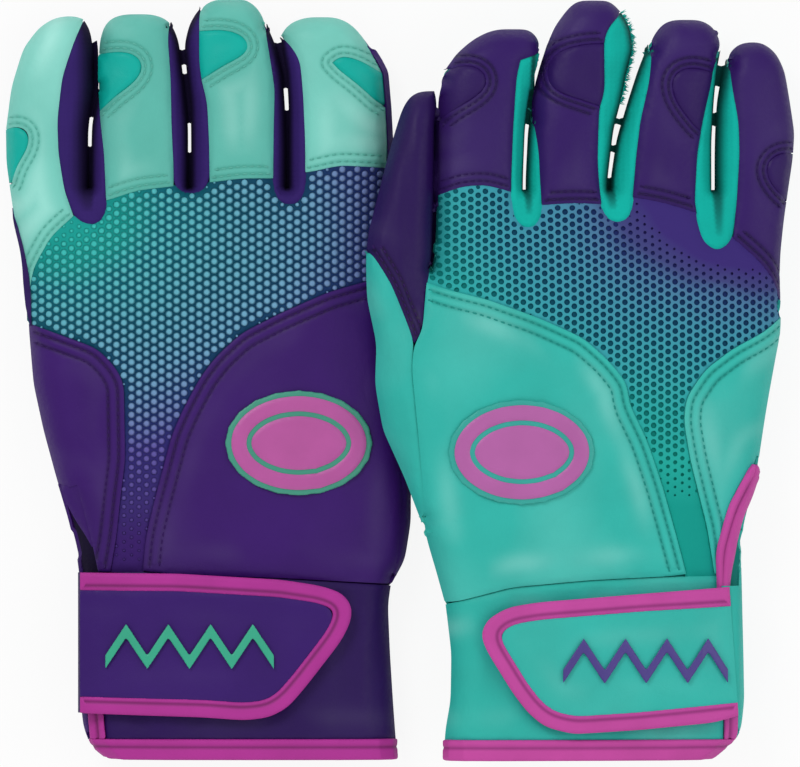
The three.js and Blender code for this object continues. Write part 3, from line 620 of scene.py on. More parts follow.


# Painted shade: the linings' dark colours stand in for the shade down in the seams and in the cuff's mouth.
LININGS = {"left": knit("dark_violet_jersey", "#130829"), "right": knit("deep_teal_jersey", "#0A7770")}
for hand in HANDS:
    for part in PALM_PARTS:
        loops, _ = shifted(outline(hand, part, -1), hand, -0.0012, 0.0012, True)
        for side, surface in ((1, over_back), (-1, under_palm)):
            piece = shape_mesh(
                f"{hand}_{part}_lining_{'back' if side > 0 else 'front'}", hand, loops, 0.0016,
                lambda x, y: surface(hand, x, y, -LINING_DEPTH), side,
            )
            cloth(piece, LINING_WALL, LININGS[hand], "gloves")

# Finger tops
# Each finger's back is one piece of thin soft leather, dyed through and lightly pebbled, sewn inside out
# to the stretch gussets so that its edges roll under. Two rows of stitches run beside its open seams.
LEATHER = 0.0011
GROOVE = 0.00036


def painted_groove_shade(tree, code, sewn):
    """A colour darkened with painted shade along the piece's sewn lines, where the surface is drawn in."""
    line = add(tree, "ShaderNodeAttribute", attribute_name="sewn")
    colours = {0: line.outputs["Fac"], 6: linear(code), 7: linear(sewn)}
    return add(tree, "ShaderNodeMix", colours, data_type="RGBA").outputs[2]


def leather(name, code, sewn, spread=0.07, grain_mm=0.55):
    """Synthetic leather, coated and embossed: fine pebbles, a soft sheen and slow changes of shade, with
    painted shade along its stitch grooves and a painted highlight in pale patches beside its seams."""
    material, tree = blank(name)
    place = add(tree, "ShaderNodeTexCoord").outputs["Object"]
    slow = add(tree, "ShaderNodeTexNoise", {"Vector": place, "Scale": 38, "Detail": 4, "Roughness": 0.55})
    tone = add(
        tree, "ShaderNodeMapRange", {0: slow.outputs["Fac"], 1: 0.3, 2: 0.7, 3: 1 - spread, 4: 1 + spread}
    )
    red, green, blue = linear(code)[:3]
    # Painted highlight: where the 'pale' attribute is set, a lighter copy of the colour is mixed in, lifted
    # more on brighter leathers.
    painted_highlight = 0.012 + 0.3 * (0.2126 * red + 0.7152 * green + 0.0722 * blue)
    pale = add(tree, "ShaderNodeAttribute", attribute_name="pale")
    colours = {
        0: pale.outputs["Fac"], 6: painted_groove_shade(tree, code, sewn),
        7: (red + painted_highlight, green + painted_highlight, blue + painted_highlight, 1)
    }
    base = add(tree, "ShaderNodeMix", colours, data_type="RGBA").outputs[2]
    shade = add(tree, "ShaderNodeVectorMath", {0: base, 3: tone.outputs[0]}, operation="SCALE")
    pebbles = add(
        tree, "ShaderNodeTexVoronoi", {"Vector": place, "Scale": 1000 / grain_mm}, feature="SMOOTH_F1"
    )
    fine = add(tree, "ShaderNodeTexNoise", {"Vector": place, "Scale": 900, "Detail": 3})
    folds = add(tree, "ShaderNodeTexNoise", {"Vector": place, "Scale": 130, "Detail": 4, "Distortion": 0.6})
    grain = add(
        tree, "ShaderNodeMath", {0: pebbles.outputs["Distance"], 1: fine.outputs["Fac"]}, operation="ADD"
    )
    low = add(tree, "ShaderNodeBump", {"Height": folds.outputs["Fac"], "Strength": 0.45, "Distance": 0.0006})
    bump = add(
        tree, "ShaderNodeBump",
        {"Height": grain.outputs[0], "Strength": 0.25, "Distance": 0.0001, "Normal": low.outputs[0]},
    )
    rough = add(tree, "ShaderNodeMapRange", {0: fine.outputs["Fac"], 1: 0.3, 2: 0.7, 3: 0.46, 4: 0.6})
    skin = add(
        tree, "ShaderNodeBsdfPrincipled",
        {
            "Base Color": shade.outputs[0], "Roughness": rough.outputs[0], "IOR": 1.31,
            "Normal": bump.outputs[0]
        },
    )
    add(tree, "ShaderNodeOutputMaterial", {"Surface": skin.outputs[0]})
    return material


def seam_run(hand, loop, neighbour, reach=0.0016):
    """The stretch of an outline that runs beside another piece, in its order."""
    tree = points_tree([p for other in outline(hand, neighbour) for p in other])
    close = nearest(tree, [p[0] for p in loop], [p[1] for p in loop]) < reach
    close = close | np.roll(close, 2) & np.roll(close, -2)
    if close.all():
        return loop + loop[:1]
    first = int(np.argmin(close))
    runs = [[]]
    for k in range(len(loop)):
        spot = (first + k) % len(loop)
        if close[spot]:
            runs[-1].append(loop[spot])
        elif runs[-1]:
            runs.append([])
    return max(runs, key=len)


def evenly(points, step):
    """A line through points with even steps."""
    points = np.array([tuple(p) for p in points])
    lengths = np.concatenate([[0], np.cumsum(np.linalg.norm(np.diff(points, axis=0), axis=1))])
    spots = np.linspace(0, lengths[-1], max(2, round(lengths[-1] / step) + 1))
    return np.stack([np.interp(spots, lengths, points[:, k]) for k in range(points.shape[1])], axis=1)


def beside(run, loop, distance, step):
    """A line inside an outline at a distance from one of its stretches, with even steps."""
    turn = 1 if sum(a.x * b.y - b.x * a.y for a, b in zip(loop, loop[1:] + loop[:1])) > 0 else -1
    line = evenly(run, 0.0004)
    along = np.gradient(line, axis=0)
    for _ in range(6):
        along[1:-1] = (along[:-2] + 2 * along[1:-1] + along[2:]) / 4
    along /= np.linalg.norm(along, axis=1)[:, None]
    moved = line + np.stack([-along[:, 1], along[:, 0]], axis=1) * turn * distance
    clear = nearest(points_tree(line), moved[:, 0], moved[:, 1]) > distance * 0.93
    clear &= within([loop], moved[:, 0], moved[:, 1])
    clear &= nearest(points_tree(loop), moved[:, 0], moved[:, 1]) > min(distance * 0.8, 0.0011)
    return evenly(moved[clear], step) if clear.sum() > 8 else None


def thread(name, code):
    """Bonded polyester sewing thread: a fine twist and a slight sheen."""
    material, tree = blank(name)
    place = add(tree, "ShaderNodeTexCoord").outputs["Object"]
    twist = add(
        tree, "ShaderNodeTexWave", {"Vector": place, "Scale": 1400, "Distortion": 1.5},
        bands_direction="DIAGONAL"
    )
    bump = add(
        tree, "ShaderNodeBump", {"Height": twist.outputs["Fac"], "Strength": 0.5, "Distance": 0.00005}
    )
    skin = add(
        tree, "ShaderNodeBsdfPrincipled",
        {"Base Color": linear(code), "Roughness": 0.6, "IOR": 1.3, "Normal": bump.outputs[0]},
    )
    add(tree, "ShaderNodeOutputMaterial", {"Surface": skin.outputs[0]})
    return material


def stitched(name, hand, lines, height, material, body, length=0.0014, width=0.00042, side=1):
    """Rows of short thread stitches along lines in plan, each arched over the seam, as one mesh."""
    verts, faces = [], []
    for line in lines:
        along = np.gradient(line, axis=0)
        along /= np.linalg.norm(along, axis=1)[:, None]
        lift = height(line[:, 0], line[:, 1])
        ahead = height(line[:, 0] + along[:, 0] * length / 2, line[:, 1] + along[:, 1] * length / 2)
        for (x, y), (dx, dy), z, further in zip(line, along, lift, ahead):
            slope = (further - z) / (length / 2)
            first = len(verts)
            for share, girth, sink in ((-1, 0.4, 0.5), (-0.6, 1, 0), (0.6, 1, 0), (1, 0.4, 0.5)):
                for k in range(6):
                    angle = math.tau * k / 6
                    off = math.cos(angle) * width / 2 * girth
                    up = math.sin(angle) * width / 2 * girth - sink * width
                    step = share * length / 2
                    spot = Vector((x + dx * step - dy * off, y + dy * step + dx * off, z + slope * step))
                    spot.z += side * (up + width * 0.25)
                    verts.append(LEVEL[hand] @ spot)
            for ring in range(3):
                for k in range(6):
                    a, b = first + ring * 6 + k, first + ring * 6 + (k + 1) % 6
                    faces.append((a, a + 6, b + 6, b)[:: side])
            faces.append(tuple(range(first, first + 6))[:: side])
            faces.append(tuple(range(first + 23, first + 17, -1))[:: side])
    mesh = bpy.data.meshes.new(name)
    mesh.from_pydata(verts, [], faces)
    piece = bpy.data.objects.new(name, mesh)
    SCENE.collection.objects.link(piece)
    shell = bmesh.new()
    shell.from_mesh(mesh)
    bmesh.ops.recalc_face_normals(shell, faces=shell.faces)
    shell.to_mesh(mesh)
    shell.free()
    finish(piece, 0, material)
    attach(piece, body)
    return piece


def panel(
    hand, part, material, drop=0.0006, roll=0.0013, spacing=0.0012, surface=over_back, lift=0.0,
    body="gloves", fold=0.0002, rows=(), sewing=None, wall=LEATHER, groove=GROOVE, growth=0.0002, shade=None,
    trim=None, edge=0.0, waves=(0.008, 0.012), painted_highlight=1.0,
):
    """A sewn panel over its CAD node: rolled at its seams, softly creased, with grooved rows of stitches
    at distances inside the stretches that run beside its neighbours."""
    side = -1 if surface is under_palm else 1
    loops, rings = shifted(outline(hand, part, side), hand, growth, edge, side < 0)
    if trim:
        loops, rings = [[trim(p) for p in loop] for loop in loops], []
    sewn = points_tree(seam_points(hand, loops) or [(9, 9)])
    runs = [(seam_run(hand, loops[0], neighbour), distances) for neighbour, distances in rows]
    runs = [(run, distances) for run, distances in runs if len(run) > 6]
    trees = [(points_tree(run), len(run), distances) for run, distances in runs]

    def height(x, y):
        level = surface(hand, x, y, lift)
        close = nearest(sewn, x, y)
        out = (
            creases(x, y, len(part), *waves, fold) * np.clip(close / 0.004, 0, 1) - rolled(close, drop, roll)
        )
        for tree, count, distances in trees:
            away = along_run(tree, count, x, y)
            for distance in distances:
                out = out - groove * np.exp(-(((away - distance) / 0.0005) ** 2))
            if len(distances) > 1:
                middle = sum(distances) / len(distances)
                out = out + groove * 0.6 * np.exp(-(((away - middle) / 0.0009) ** 2))
        return level + side * out

    fine = points_tree([p for run, _ in runs for p in run]) if runs else None
    piece = shape_mesh(f"{hand}_{part}_skin", hand, loops, spacing, height, side, rings, fine)
    places = np.array([LEVEL[hand].inverted() @ v.co for v in piece.data.vertices])
    # Painted shade: the 'fold' mask from shade darkens the jersey deep in its folds.
    if shade:
        dye = piece.data.attributes.new("fold", "FLOAT", "POINT")
        dye.data.foreach_set("value", shade(places[:, 0], places[:, 1]).astype(np.float32))
    # Painted highlight: soft pale patches in a band beside the seams and broad pale patches, kept as the
    # 'pale' attribute.
    if painted_highlight:
        band = np.exp(-(((nearest(sewn, places[:, 0], places[:, 1]) - 0.0068) / 0.0028) ** 2))
        patch = creases(places[:, 0], places[:, 1], len(part) + 3, 0.016, 0.022, 1.6) + 0.4
        broad = creases(places[:, 0], places[:, 1], len(part) + 7, 0.028, 0.04, 1.2)
        pale = painted_highlight * np.clip(band * np.clip(patch, 0, 1) * 0.7 + np.clip(broad, 0, 1) * 0.45, 0, 1)
        light = piece.data.attributes.new("pale", "FLOAT", "POINT")
        light.data.foreach_set("value", pale.astype(np.float32))
    # Painted shade: the 'sewn' attribute marks the stitch grooves, which the material darkens.
    if trees:
        drawn = np.zeros(len(places))
        for tree, count, distances in trees:
            away = along_run(tree, count, places[:, 0], places[:, 1])
            for distance in distances:
                drawn = np.maximum(drawn, np.exp(-(((away - distance) / 0.0005) ** 2)))
        line = piece.data.attributes.new("sewn", "FLOAT", "POINT")
        line.data.foreach_set("value", drawn.astype(np.float32))
    cloth(piece, wall, material, body, [f"{hand}_{part}"])
    lines = [beside(run, loops[0], distance, 0.0021) for run, distances in runs for distance in distances]
    lines = [line for line in lines if line is not None and len(line) > 2]
    if sewing and lines:
        stitched(f"{hand}_{part}_stitches", hand, lines, height, sewing, body, side=side)
    return piece, loops, height


# The second colour of each leather is the painted shade in its stitch grooves.
LEATHERS = {
    "painted_light_mint": leather("painted_light_mint_synthetic_leather", "#77CCBE", "#5FB7A8"),
    "mint": leather("painted_shade_mint_synthetic_leather", "#5EBAAC", "#4BA596"),
    "violet": leather("violet_synthetic_leather", "#380F68", "#220540"),
    "plum": leather("plum_synthetic_leather", "#301061", "#1B063E"),
    "aubergine": leather("aubergine_synthetic_leather", "#250850", "#160330"),
    "sea_green": leather("sea_green_synthetic_leather", "#30B8AC", "#189187"),
    "turquoise": leather("turquoise_synthetic_leather", "#00AFA2", "#00AFA2", grain_mm=0.4),
    "dusk": leather("dusk_violet_synthetic_leather", "#2B0E58", "#2B0E58", grain_mm=0.4),
}
THREADS = {
    "mint": thread("mint_thread", "#62B8A9"),
    "violet": thread("dark_violet_thread", "#32105A"),
    "plum": thread("plum_thread", "#2A1052"),
    "sea_green": thread("sea_green_thread", "#1A9188"),
}
FINGER_DYE = {"left": "mint", "right": "plum"}
# Painted light: the index and little fingers take a lighter copy of the one mint leather and the ring and
# middle fingers a darker one, lit and shaded copies.
for hand in HANDS:
    dye = FINGER_DYE[hand]
    for name in FINGERS:
        panel(
            hand, f"{name}_finger_top", LEATHERS[
                "painted_light_mint" if dye == "mint" and name in ("index", "pinky") else dye
            ],
            sewing=THREADS[dye],
            rows=((f"{name}_knuckle_insert", (0.0012, 0.003)), ("back_mesh", (0.0013, 0.0034))),
            groove=GROOVE if hand == "right" else GROOVE * 0.6,
        )

# Knuckle inserts
# A D-shaped flex window of thinner leather lets each finger bend. It is sewn in from below, so its edge
# lies a little deeper than the finger's.
WINDOW_DYE = {"left": "turquoise", "right": "dusk"}
for hand in HANDS:
    for name in FINGERS:
        panel(
            hand, f"{name}_knuckle_insert", LEATHERS[WINDOW_DYE[hand]], drop=0.0008,
            roll=0.0012, spacing=0.0008, fold=0.0003, painted_highlight=0.3,
        )

# Finger gussets
# Between the fingers runs a strip of stretch jersey. It folds in between them, deep in its middle, where
# painted shade makes it dark, and a web of it, painted all in that shade, closes the gap apart from short
# slits.
# The second colour of each jersey is its painted shade deep in the fold.
STRETCH = {
    "left": knit("violet_stretch_jersey", "#341F68", painted_fold_shade="#150A30"),
    "right": knit("turquoise_stretch_jersey", "#08B2A4", painted_fold_shade="#00534D"),
}
# Widths of the painted shade to each side of the gap between the fingers.
PAINTED_SHADE_WIDTHS = {
    "left": {
        "ring_pinky": (0.0052, 0.0016), "middle_ring": (0.002, 0.0018), "index_middle": (0.0022, 0.0016)
    },
    "right": {
        "ring_pinky": (0.0012, 0.0024), "middle_ring": (0.0028, 0.001), "index_middle": (0.001, 0.0016)
    },
}
WEBS = {
    "left": {
        "ring_pinky": ((-0.002, 0.0125), (0.0196, 0.042)),
        "middle_ring": ((-0.002, 0.0108), (0.0179, 0.0332), (0.0346, 0.04)),
        "index_middle": ((-0.002, 0.0228), (0.0279, 0.042)),
    },
    "right": {
        "ring_pinky": ((-0.002, 0.0004), (0.0177, 0.0226), (0.0290, 0.036)),
        "middle_ring": ((-0.002, 0.004), (0.0102, 0.0133), (0.0181, 0.0209)),
        "index_middle": ((-0.002, 0.0004), (0.018, 0.036)),
    },
}
WEB_TUCK = 0.0011
WEB_NOTCH = 0.0007


def gap_line(hand, part):
    """The middle and half width of the gap that a gusset leaves between two fingers, against y."""
    points = outline(hand, part)[0]
    sides = [p for p, close in zip(points, at_side(hand, points)) if close]
    bottom = min(sides, key=lambda p: p.y).y
    steps = np.arange(bottom + 0.001, max(p.y for p in sides), 0.001)
    middles, halves, heights = [], [], []
    for step in steps:
        row = [p.x for p in sides if abs(p.y - step) < 0.001]
        if len(row) > 1 and max(row) - min(row) < 0.008:
            heights.append(step)
            middles.append((max(row) + min(row)) / 2)
            halves.append((max(row) - min(row)) / 2)
    return bottom, np.array(heights), np.array(middles), np.array(halves)


for hand in HANDS:
    for name in GUSSETS:
        bottom, heights, middles, halves = gap_line(hand, f"{name}_gusset")
        toward_low, toward_high = PAINTED_SHADE_WIDTHS[hand][name]
        floor_y = min(min(p.y for p in outline(hand, f"{name}_gusset")[0]) + 0.0035, bottom - 0.001)

        # Painted shade: darkest over the gap between the fingers, fading in a band to each side and out below
        # the slit.
        def painted_fold_shade_mask(x, y):
            off = x - np.interp(y, heights, middles)
            beyond = np.abs(off) - np.interp(y, heights, halves)
            width = np.where(off < 0, toward_low, toward_high)
            width = width * np.interp(y, (floor_y, bottom), (0.35, 1))
            return np.clip(1.35 - 1.35 * beyond / width, 0, 1) * np.sqrt(
                np.clip((y - floor_y) / (bottom - floor_y), 0, 1)
            )

        panel(
            hand, f"{name}_gusset", STRETCH[hand], drop=0.0008, roll=0.0014,
            spacing=0.0008, fold=0.0003, shade=painted_fold_shade_mask, painted_highlight=0,
        )
        verts, faces, dyes = [], [], []
        for low, high in WEBS[hand][name]:
            rows = np.linspace(bottom + low, bottom + high, max(4, int((high - low) / 0.0006)))
            for k, y in enumerate(rows):
                middle, half = np.interp(y, heights, middles), np.interp(y, heights, halves) + WEB_TUCK
                notch = WEB_NOTCH * (1 - 2 * k / (len(rows) - 1))
                for share in (-1, -0.5, 0, 0.5, 1):
                    z = EDGE[hand][1] - 0.0005 - 0.001 * (1 - share * share)
                    verts.append(
                        LEVEL[hand] @ Vector((middle + share * half, y + notch * (1 - abs(share)), z))
                    )
                if k:
                    first = len(verts) - 10
                    faces += [(first + c, first + c + 1, first + c + 6, first + c + 5) for c in range(4)]
        mesh = bpy.data.meshes.new(f"{hand}_{name}_web")
        mesh.from_pydata(verts, [], faces)
        painted_shade_web = bpy.data.objects.new(mesh.name, mesh)
        SCENE.collection.objects.link(painted_shade_web)
        # Painted shade: every point of the web takes the jersey's darkest fold colour.
        dye = mesh.attributes.new("fold", "FLOAT", "POINT")
        dye.data.foreach_set("value", [1.0] * len(verts))
        finish(painted_shade_web, LINING_WALL, STRETCH[hand])
        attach(painted_shade_web, "gloves")

# Worn pile
# On the right glove the middle finger's jersey is brushed rough along its open edge, and its loose fibres
# stand out in small tufts. They are drawn as coarse as they need to be to show.
TUFTS = 170
TUFT_LONG = 0.0017
TUFT_WIDE = 0.00045
picked = np.random.default_rng(7)
loop = outline("right", "middle_ring_gusset")[0]
low_side = sorted(
    (p for p, close in zip(loop, at_side("right", loop)) if close and p.y > 0.078), key=lambda p: p.y
)
rows = {}
for p in low_side:
    rows.setdefault(round(p.y / 0.0015), []).append(p)
edge_line = np.array([tuple(min(row, key=lambda p: p.x)) for _, row in sorted(rows.items())])
verts, faces = [], []
for _ in range(TUFTS):
    y = picked.uniform(edge_line[0, 1], edge_line[-1, 1])
    x = float(np.interp(y, edge_line[:, 1], edge_line[:, 0]))
    z = EDGE["right"][1] + picked.uniform(0.0002, 0.0016)
    turn = picked.uniform(-0.9, 0.9)
    long = TUFT_LONG * picked.uniform(0.5, 1.2)
    root = Vector((x - 0.0003, y, z))
    tip = root + Vector((math.cos(turn), math.sin(turn), picked.uniform(-0.3, 0.3))) * long
    first = len(verts)
    across = Vector((-math.sin(turn), math.cos(turn), 0)) * TUFT_WIDE / 2
    up = Vector((0, 0, TUFT_WIDE / 2))
    verts += [LEVEL["right"] @ p for p in (root - across, root + across, root + up, tip)]
    faces += [
        (first, first + 1, first + 2), (first, first + 3, first + 1), (first + 1, first + 3, first + 2),
        (first + 2, first + 3, first)
    ]
mesh = bpy.data.meshes.new("right_middle_pile")
mesh.from_pydata(verts, [], faces)
pile = bpy.data.objects.new(mesh.name, mesh)
SCENE.collection.objects.link(pile)
shell = bmesh.new()
shell.from_mesh(mesh)
bmesh.ops.recalc_face_normals(shell, faces=shell.faces)
shell.to_mesh(mesh)
shell.free()
finish(pile, 0, STRETCH["right"])
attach(pile, "gloves")

# Back net
# The middle of the back is a knitted net, dyed in one slow run of colour and fading to plain cloth down the
# wrist. Foam shows through its round holes: pale on the left glove, dark on the right.
NET_COLUMNS = {"left": 0.00214, "right": 0.00208}
NET_PITCH = {"left": 0.00249, "right": 0.00233}
NET_HOLE = {"left": 0.00105, "right": 0.00085}
NET_PLAIN = {"left": (0.002, 0.014), "right": (0.034, 0.046)}
NET_WALL = 0.0005
NET_TUCK = 0.0005
NET_DYES = {
    "left": (
        (-0.0969, 0.0454),
        (0.010, "#169D94", "#38BFB5"), (0.020, "#0C8A84", "#40BAB6"), (0.030, "#036270", "#56B8BF"),
        (0.050, "#064A60", "#66ADC2"), (0.070, "#0C3D5E", "#70A6C6"), (0.085, "#182F62", "#7088B8"),
        (0.101, "#2C266C", "#6058A2"), (0.121, "#38296E", "#564690"), (0.138, "#381B67", "#432C74"),
    ),
    "right": (
        (0.1000, 0.0540),
        (0.032, "#311F6A", "#3B2A76"), (0.040, "#22286A", "#41477F"), (0.048, "#123265", "#4A7AA0"),
        (0.060, "#083F62", "#4290AA"), (0.074, "#034F66", "#3A9CAC"), (0.085, "#036670", "#36A6AC"),
        (0.095, "#027876", "#2CA9A8"), (0.118, "#048C80", "#1FAB9F"), (0.136, "#05968A", "#0C9C8F"),
    ),
}
NET_FADE = {"left": (-0.020, -0.052), "right": (-0.016, -0.034)}


def dyed(name, hand, pale, rough=0.75):
    """Cloth dyed in a run of colours with the distance from one corner, stretched in width."""
    material, tree = blank(name)
    place = add(tree, "ShaderNodeTexCoord").outputs["Object"]
    corner, *stops = NET_DYES[hand]
    offset = add(
        tree, "ShaderNodeVectorMath", {0: place, 1: (corner[0], corner[1], 0)}, operation="SUBTRACT"
    )
    scaled = add(tree, "ShaderNodeVectorMath", {0: offset.outputs[0], 1: (1, 1.5, 0)}, operation="MULTIPLY")
    reach = add(tree, "ShaderNodeVectorMath", {0: scaled.outputs[0]}, operation="LENGTH")
    wobble = add(tree, "ShaderNodeTexNoise", {"Vector": place, "Scale": 45, "Detail": 2})
    uneven = add(
        tree, "ShaderNodeMath", {0: wobble.outputs["Fac"], 1: 0.012, 2: -0.006}, operation="MULTIPLY_ADD"
    )
    total = add(tree, "ShaderNodeMath", {0: reach.outputs["Value"], 1: uneven.outputs[0]}, operation="ADD")
    share = add(tree, "ShaderNodeMapRange", {0: total.outputs[0], 1: 0.0, 2: 0.16})
    ramp = add(tree, "ShaderNodeValToRGB", {"Fac": share.outputs[0]})
    while len(ramp.color_ramp.elements) < len(stops):
        ramp.color_ramp.elements.new(0.5)
    for element, (distance, dark, light) in zip(ramp.color_ramp.elements, stops):
        element.position = distance / 0.16
        element.color = linear(light if pale else dark)
    weave = add(tree, "ShaderNodeTexNoise", {"Vector": place, "Scale": 1600, "Detail": 2})
    bump = add(tree, "ShaderNodeBump", {"Height": weave.outputs["Fac"], "Strength": 0.4, "Distance": 0.0001})
    skin = add(
        tree, "ShaderNodeBsdfPrincipled",
        {"Base Color": ramp.outputs["Color"], "Roughness": rough, "IOR": 1.25, "Normal": bump.outputs[0]},
    )
    add(tree, "ShaderNodeOutputMaterial", {"Surface": skin.outputs[0]})
    return material


NETS = {hand: dyed(f"{hand}_net_yarn", hand, hand == "right") for hand in HANDS}
FOAMS = {hand: dyed(f"{hand}_foam_backing", hand, hand == "left") for hand in HANDS}
for hand in HANDS:
    rim, _ = shifted(outline(hand, "back_mesh"), hand, NET_TUCK, 0.0001)
    rim_tree = outline_tree(rim)
    corners = [p for loop in rim for p in loop]
    low_x, high_x = min(p.x for p in corners), max(p.x for p in corners)
    low_y, high_y = min(p.y for p in corners), max(p.y for p in corners)
    pitch, hole = NET_PITCH[hand], NET_HOLE[hand]
    columns = np.arange(low_x, high_x, NET_COLUMNS[hand])
    spots = np.array(
        [(x, y + (k % 2) * pitch / 2) for k, x in enumerate(columns) for y in np.arange(low_y, high_y, pitch)]
    )
    spots = spots[within(rim, spots[:, 0], spots[:, 1])]
    clear = nearest(rim_tree, spots[:, 0], spots[:, 1])
    start, end = NET_FADE[hand]
    corner = NET_DYES[hand][0]
    reach = np.hypot(spots[:, 0] - corner[0], 1.5 * (spots[:, 1] - corner[1]))
    plain_end, net_start = NET_PLAIN[hand]
    fade = np.clip((spots[:, 1] - end) / (start - end), 0, 1) * np.clip(
        (reach - plain_end) / (net_start - plain_end), 0, 1
    )
    radii = np.minimum(hole * (0.35 + 0.65 * fade), clear - NET_TUCK + 0.0002)
    kept = (radii > 0.3 * hole) & (fade > 0.02)
    spots, radii = spots[kept], radii[kept]
    holes = [
        [
            Vector((x + r * math.cos(math.tau * k / 10), y + r * math.sin(math.tau * k / 10)))
            for k in range(10)
        ]
        for (x, y), r in zip(spots, radii)
    ]
    centres = points_tree(spots)
    knots = [(x + NET_COLUMNS[hand] * side * 2 / 3, y) for x, y in spots for side in (-1, 1)]
    knots = list({(round(x, 4), round(y, 4)): (x, y) for x, y in knots}.values())
    knot_x, knot_y = np.array([k[0] for k in knots]), np.array([k[1] for k in knots])
    inside = within(rim, knot_x, knot_y) & (nearest(rim_tree, knot_x, knot_y) > 0.0004)
    inside &= nearest(centres, knot_x, knot_y) > hole + 0.0002

    def net_height(x, y):
        away = nearest(centres, x, y)
        sunk = rolled(nearest(rim_tree, x, y), 0.0007, 0.0016)
        return over_back(hand, x, y, -0.0003) - sunk + 0.0002 * np.clip((away - hole) / 0.0003, 0, 1)

    piece = shape_mesh(
        f"{hand}_back_net", hand, rim + holes, 0.0016, net_height,
        extra=list(zip(knot_x[inside], knot_y[inside])),
    )
    cloth(piece, NET_WALL, NETS[hand], "gloves", [f"{hand}_back_mesh"])

    def foam_height(x, y):
        return over_back(hand, x, y, -0.00105 if hand == "left" else -0.00085)

    piece = shape_mesh(f"{hand}_net_backing", hand, rim, 0.0014, foam_height)
    cloth(piece, 0, FOAMS[hand], "gloves")
    if hand == "left":
        verts, faces = [], []
        for (x, y), r in zip(spots, radii):
            first = len(verts)
            rings = ((1.0, -0.0007), (0.85, -0.0003), (0.5, -0.00005))
            for share, rise in rings:
                turns = np.arange(8) * math.tau / 8
                xs, ys = x + r * 0.96 * share * np.cos(turns), y + r * 0.96 * share * np.sin(turns)
                zs = over_back(hand, xs, ys, rise)
                verts += [LEVEL[hand] @ Vector(p) for p in zip(xs, ys, zs)]
            for ring in range(2):
                for k in range(8):
                    a, b = first + ring * 8 + k, first + ring * 8 + (k + 1) % 8
                    faces.append((a, b, b + 8, a + 8))
            faces.append(tuple(range(first + 16, first + 24)))
        mesh = bpy.data.meshes.new("left_net_dots")
        mesh.from_pydata(verts, [], faces)
        dots = bpy.data.objects.new("left_net_dots", mesh)
        SCENE.collection.objects.link(dots)
        finish(dots, 0, FOAMS[hand])
        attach(dots, "gloves")

# Back panels
# Two leather panels meet in a V under the net, one over the thumb's side and one down the little
# finger's side. Their edges beside the net are turned under and held by two rows of stitches.
BACK_DYE = {"left": "violet", "right": "sea_green"}
for hand in HANDS:
    dye = BACK_DYE[hand]
    for part, rows in (
        ("dorsal_panel", (("back_mesh", (0.0018, 0.0046)),)),
        ("pinky_side_panel", (("back_mesh", (0.0018, 0.0046)),)),
        ("palm_side_strip", ()),
    ):
        panel(
            hand, part, LEATHERS[dye], rows=rows, sewing=THREADS[dye], fold=0.0005,
            drop=0.0004, roll=0.0008, lift=0.00025 if rows else 0,
        )

# Thumb
# The thumb is a back and a palm half of leather, joined along its sides, with a gathered fold of leather
# at its root beside the back panel.
THUMB_DYE = {"left": "violet", "right": "aubergine"}


def thumb_edge(point):
    """How far inside the side edge the thumb's palm half ends, less beside the right index finger."""
    if point.x < 0.0065:
        return 0.0001
    return 0.0009 - 0.0022 * float(np.clip(min(0.079 - point.y, point.y - 0.046) / 0.004, 0, 1))


for hand in HANDS:
    dye = THUMB_DYE[hand]
    panel(
        hand, "thumb_back", LEATHERS[dye], sewing=THREADS["violet"], fold=0.0011,
        waves=(0.0045, 0.03), rows=(("thumb_side_panel", (0.0013, 0.0032)),),
    )
    side_dye = BACK_DYE[hand]
    panel(hand, "thumb_side_panel", LEATHERS[side_dye], fold=0.0007)
    panel(
        hand, "thumb_palm", LEATHERS[dye], surface=under_palm, fold=0.0003, edge=thumb_edge
    )

# Palm
# One sheet of the same leather covers the palm and the inner side of the fingers. On the left glove it
# comes round the index finger's outer side and shows there as a dark edge.


def palm_edge(hand, point):
    """How far inside the hand's side edge the palm's leather ends, less than nothing where it shows."""
    shown = 0.0
    if hand == "left" and point.x > -0.0170:
        shown = 0.0006 * min(1, (point.y - 0.015) / 0.004, (0.0985 - point.y) / 0.008)
    return 0.0001 + 0.0004 * float(np.clip((point.y - 0.045) / 0.01, 0, 1)) * (shown <= 0) - max(0.0, shown)


for hand in HANDS:
    panel(
        hand, "palm", LEATHERS[BACK_DYE[hand]], surface=under_palm, fold=0.0003,
        edge=functools.partial(palm_edge, hand),
    )

# Dark edge of the left little finger
# Beside the left little finger and hand the palm's leather stands out a little, tapering to nothing. It is
# cut from the darker dusk leather, painted shade for the shadow along the hand's side.
EDGE_LINE = (
    (12.2, 208, 0.1), (13.5, 217, 0.3), (16.3, 228, 0.45), (19.5, 240, 0.5), (22.6, 253, 0.55),
    (25, 268, 0.75), (26.2, 280, 0.9), (27.2, 292, 0.9), (28.2, 305, 0.8), (29.4, 316, 0.5),
    (30.8, 326, 0.15),
)
PHOTO_SCALE = 0.000284768


def photo_point(px, py, z=0.0):
    """A place in the photo as a point of the shared frame."""
    return Vector((px * PHOTO_SCALE - 0.113966, -py * PHOTO_SCALE + 0.108035, z))


line = [(photo_point(x, y), half / 1000) for x, y, half in EDGE_LINE]
outer = [(LEVEL["left"].inverted() @ (p - Vector((half, half / 3, 0)))).xy for p, half in line]
inner = [(LEVEL["left"].inverted() @ (p + Vector((half, half / 3, 0)))).xy for p, half in line]
rise = over_back("left", np.array([p.x for p in inner]), np.array([p.y for p in inner]))
shade_painted_palm_edge = shape_mesh(
    "left_palm_edge", "left", [rounded(outer + inner[::-1], 0.0006, rounds=2)], 0.0006,
    lambda x, y: np.interp(-y, [-p.y for p in inner], rise) + 0.0002,
)
